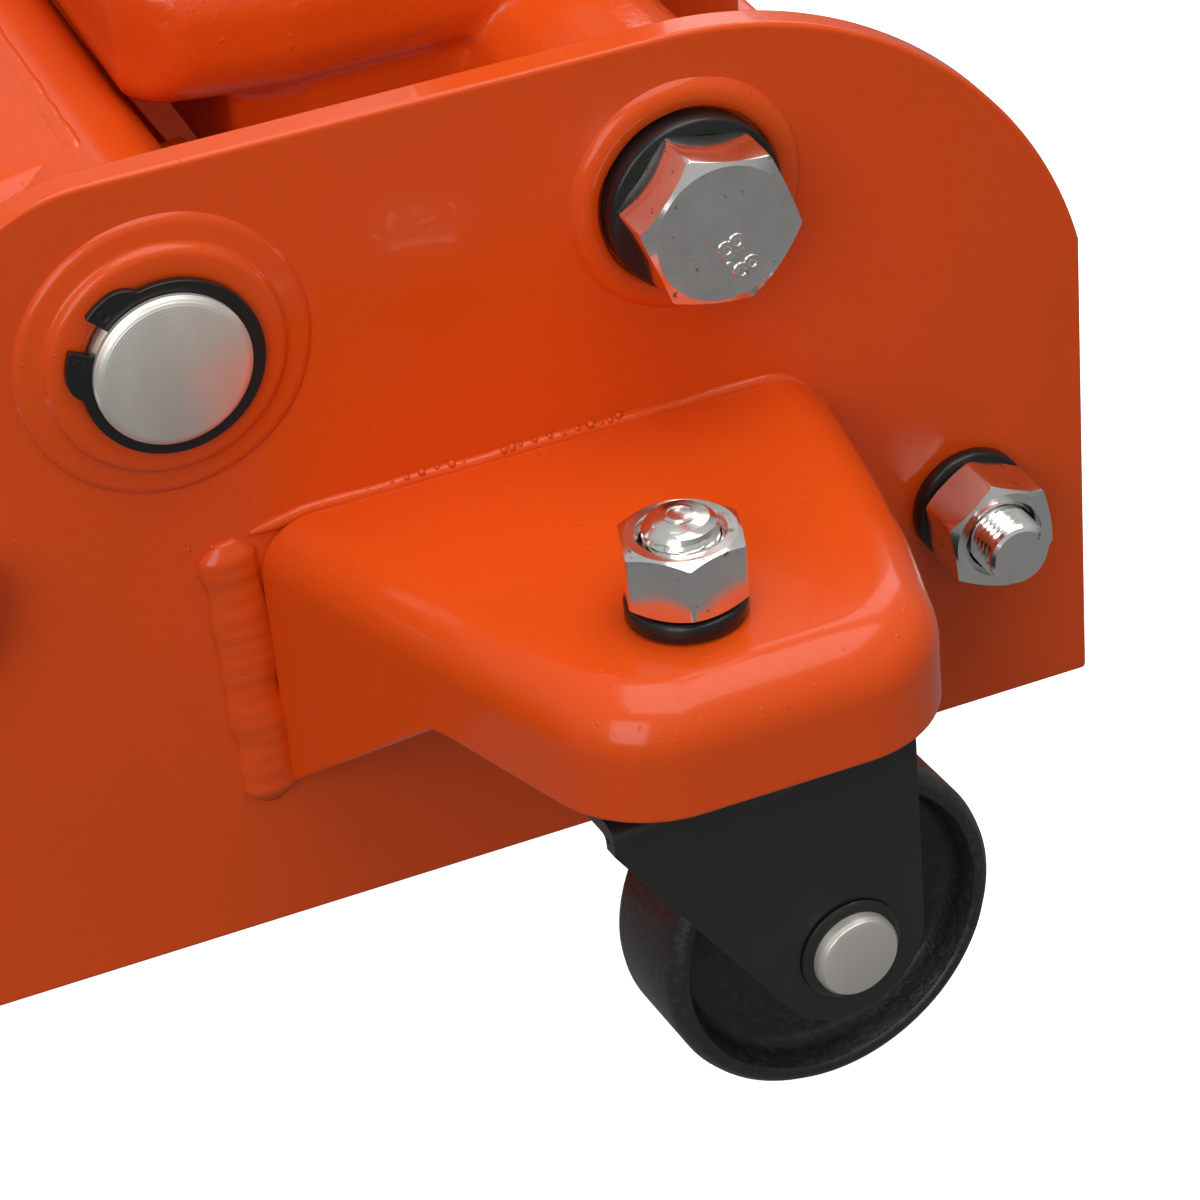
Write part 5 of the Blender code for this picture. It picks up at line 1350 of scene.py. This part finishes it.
def build_springs():
    """Return springs: a close coil with a short straight end at each end, from the floor brace up to the arm.
    """
    work = bpy.context.scene.jack_metalwork
    place, _ = arm_frame()
    edged("floor_brace_plate", "floor_brace", "paint", "chassis", 0.0008)
    for mark, side in SIDES:
        low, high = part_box(f"return_spring_{mark}")
        centre = (low + high) / 2
        post = place @ Vector((-side * 0.065, 0.070, -0.010))
        foot = Vector((centre.x, PIVOT.y + SPRING_FOOT_ALONG, SPRING_FOOT_HEIGHT))
        way = (post - foot).normalized()
        sideways = Vector((1.0, 0.0, 0.0))
        up = way.cross(sideways)
        clear = 0.013
        reach = (post - foot).length
        coil = 0.0048
        steps = work.spring_coils * 14
        route = [foot + way * (clear - 0.011), foot + way * (clear - 0.006)]
        for i in range(steps + 1):
            angle = math.tau * i / 14
            share = i / steps
            spot = foot + way * (clear + (reach - 2 * clear) * share)
            route.append(spot + (sideways * math.cos(angle) + up * math.sin(angle)) * coil)
        route += [post - way * (clear - 0.006), post - way * (clear - 0.011)]
        shape = Shape()
        frames, sections = [], []
        wire = work.spring_wire
        section = [(wire * math.cos(math.tau * k / 8), wire * math.sin(math.tau * k / 8)) for k in range(8)]
        for i, point in enumerate(route):
            before, after = route[max(0, i - 1)], route[min(len(route) - 1, i + 1)]
            ahead = (after - before).normalized()
            beside = ahead.cross(way + sideways * 0.001).normalized()
            frames.append((point, beside, ahead.cross(beside).normalized()))
            sections.append(section)
        shape.tube(frames, sections)
        spring = add_piece(f"return_coil_{mark}", shape, "zinc", None, None, (f"return_spring_{mark}",),
                           sharp=60)
        foot + way * clear
        post - way * clear
        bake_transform(spring)


def build_stage():
    look = bpy.context.scene.jack_stage
    scene = bpy.context.scene
    scene.view_settings.view_transform = "Standard"
    world = bpy.data.worlds.new("studio")
    world.use_nodes = True
    tree = world.node_tree
    backdrop = tree.nodes["Background"]
    backdrop.inputs["Strength"].default_value = look.ambient
    way = tree.nodes.new("ShaderNodeTexCoord")
    split = tree.nodes.new("ShaderNodeSeparateXYZ")
    sky = tree.nodes.new("ShaderNodeValToRGB")
    for element, (spot, tone) in zip(sky.color_ramp.elements, ((0.0, 0.42), (0.55, 1.0))):
        element.position = spot
        element.color = (tone, tone, tone, 1.0)
    tree.links.new(way.outputs["Generated"], split.inputs[0])
    tree.links.new(split.outputs[2], sky.inputs[0])
    tree.links.new(sky.outputs[0], backdrop.inputs["Color"])
    scene.world = world

    shape = Shape()
    reach = 6.0
    shape.ring([(-reach, -reach, 0.0), (reach, -reach, 0.0), (reach, reach, 0.0), (-reach, reach, 0.0)])
    shape.faces.append((0, 1, 2, 3))
    mesh = bpy.data.meshes.new("floor")
    mesh.from_pydata([tuple(point) for point in shape.points], [], shape.faces)
    floor = bpy.data.objects.new("floor", mesh)
    scene.collection.objects.link(floor)
    pale = Finish("floor", (0.9, 0.9, 0.9), 0.85)
    pale.set("Emission Color", (1.0, 1.0, 1.0, 1.0))
    pale.set("Emission Strength", 0.95)
    mesh.materials.append(pale.material)
    floor.visible_glossy = False
    floor.visible_diffuse = False

    target = Vector((FACE, PIVOT.y, PIVOT.z))
    add_light("overhead", target + Vector((0.15, 0.25, 1.30)), target, (1.5, 1.1), look.key)
    add_light("camera_side", target + Vector((1.15, -0.95, 0.75)), target, (0.9, 1.2), look.fill)
    add_light("behind", target + Vector((-1.2, 0.9, 0.9)), target, (1.0, 1.0), look.rear)

    lens = bpy.data.cameras.new("camera")
    lens.lens = look.lens
    lens.sensor_width = 36.0
    lens.clip_start = 0.01
    camera = bpy.data.objects.new("camera", lens)
    scene.collection.objects.link(camera)
    camera.location = target + Vector((0.5331, -0.1239, 0.3091))
    camera.rotation_euler = Euler((math.radians(56.322), math.radians(4.502), math.radians(67.407)))
    scene.camera = camera


def add_light(name, place, target, size, power):
    lamp = bpy.data.lights.new(name, "AREA")
    lamp.shape = "RECTANGLE"
    lamp.size, lamp.size_y = size
    lamp.energy = power
    light = bpy.data.objects.new(name, lamp)
    bpy.context.scene.collection.objects.link(light)
    light.location = place
    light.rotation_euler = (target - place).to_track_quat("-Z", "Y").to_euler()


# ---------------------------------------------------------------- operators, panel and registration

class JackOperator:
    bl_options = {"REGISTER", "UNDO"}

    def execute(self, context):
        self.build()
        return {"FINISHED"}


class JACK_OT_finishes(JackOperator, bpy.types.Operator):
    """Make the paint, plating, steel, iron and rubber materials"""
    bl_idname = "jack.finishes"
    bl_label = "Finishes"
    build = staticmethod(make_finishes)


class JACK_OT_stage(JackOperator, bpy.types.Operator):
    """Set up the floor, the soft lights and the camera"""
    bl_idname = "jack.stage"
    bl_label = "Stage"
    build = staticmethod(build_stage)


class JACK_OT_side_plates(JackOperator, bpy.types.Operator):
    """Build both side plates with their bosses"""
    bl_idname = "jack.side_plates"
    bl_label = "Side plates"
    build = staticmethod(build_side_plates)


class JACK_OT_pivot(JackOperator, bpy.types.Operator):
    """Build the lift arm's pivot pin and its retaining rings"""
    bl_idname = "jack.pivot"
    bl_label = "Pivot pin"
    build = staticmethod(build_pivot)


class JACK_OT_unit_bolts(JackOperator, bpy.types.Operator):
    """Build the pump unit's bolts and spring washers"""
    bl_idname = "jack.unit_bolts"
    bl_label = "Unit bolts"
    build = staticmethod(build_unit_bolts)


class JACK_OT_studs(JackOperator, bpy.types.Operator):
    """Build the rear studs, nuts and washers"""
    bl_idname = "jack.studs"
    bl_label = "Rear studs"
    build = staticmethod(build_studs)


class JACK_OT_link_bolts(JackOperator, bpy.types.Operator):
    """Build the levelling links' bolts"""
    bl_idname = "jack.link_bolts"
    bl_label = "Link bolts"
    build = staticmethod(build_link_bolts)


class JACK_OT_brackets(JackOperator, bpy.types.Operator):
    """Build the pressed caster brackets and their welds"""
    bl_idname = "jack.brackets"
    bl_label = "Caster brackets"
    build = staticmethod(build_brackets)


class JACK_OT_casters(JackOperator, bpy.types.Operator):
    """Build both swivel casters"""
    bl_idname = "jack.casters"
    bl_label = "Casters"
    build = staticmethod(build_casters)


class JACK_OT_front_wheels(JackOperator, bpy.types.Operator):
    """Build the front axle and its wheels"""
    bl_idname = "jack.front_wheels"
    bl_label = "Front wheels"
    build = staticmethod(build_front_wheels)


class JACK_OT_lift_arm(JackOperator, bpy.types.Operator):
    """Build the lift arm"""
    bl_idname = "jack.lift_arm"
    bl_label = "Lift arm"
    build = staticmethod(build_lift_arm)


class JACK_OT_saddle(JackOperator, bpy.types.Operator):
    """Build the saddle, its seat and pad"""
    bl_idname = "jack.saddle"
    bl_label = "Saddle"
    build = staticmethod(build_saddle)


class JACK_OT_links(JackOperator, bpy.types.Operator):
    """Build the levelling links"""
    bl_idname = "jack.links"
    bl_label = "Levelling links"
    build = staticmethod(build_links)


class JACK_OT_hydraulics(JackOperator, bpy.types.Operator):
    """Build the pump casting, the ram and the pump plunger"""
    bl_idname = "jack.hydraulics"
    bl_label = "Hydraulics"
    build = staticmethod(build_hydraulics)


class JACK_OT_handle(JackOperator, bpy.types.Operator):
    """Build the handle and its yoke"""
    bl_idname = "jack.handle"
    bl_label = "Handle"
    build = staticmethod(build_handle)


class JACK_OT_springs(JackOperator, bpy.types.Operator):
    """Build the return springs and the floor brace"""
    bl_idname = "jack.springs"
    bl_label = "Return springs"
    build = staticmethod(build_springs)


STEPS = (
    JACK_OT_finishes, JACK_OT_stage, JACK_OT_side_plates, JACK_OT_pivot, JACK_OT_unit_bolts, JACK_OT_studs,
    JACK_OT_link_bolts, JACK_OT_brackets, JACK_OT_casters, JACK_OT_front_wheels, JACK_OT_lift_arm,
    JACK_OT_saddle, JACK_OT_links, JACK_OT_hydraulics, JACK_OT_handle, JACK_OT_springs,
)


class JACK_PT_panel(bpy.types.Panel):
    bl_idname = "JACK_PT_panel"
    bl_label = "Trolley jack"
    bl_space_type = "VIEW_3D"
    bl_region_type = "UI"
    bl_category = "Trolley jack"

    def draw(self, context):
        for step in STEPS:
            self.layout.operator(step.bl_idname)
        for group in (context.scene.jack_finish, context.scene.jack_metalwork, context.scene.jack_stage):
            box = self.layout.box()
            for name in group.__annotations__:
                box.prop(group, name)


CLASSES = (JackFinish, JackMetalwork, JackStage, *STEPS, JACK_PT_panel)


def register():
    for kind in CLASSES:
        bpy.utils.register_class(kind)
    bpy.types.Scene.jack_finish = bpy.props.PointerProperty(type=JackFinish)
    bpy.types.Scene.jack_metalwork = bpy.props.PointerProperty(type=JackMetalwork)
    bpy.types.Scene.jack_stage = bpy.props.PointerProperty(type=JackStage)


def unregister():
    del bpy.types.Scene.jack_finish
    del bpy.types.Scene.jack_metalwork
    del bpy.types.Scene.jack_stage
    for kind in reversed(CLASSES):
        bpy.utils.unregister_class(kind)


def main():
    register()
    for step in STEPS:
        group, name = step.bl_idname.split(".")
        getattr(getattr(bpy.ops, group), name)()


if __name__ == "__main__":
    main()
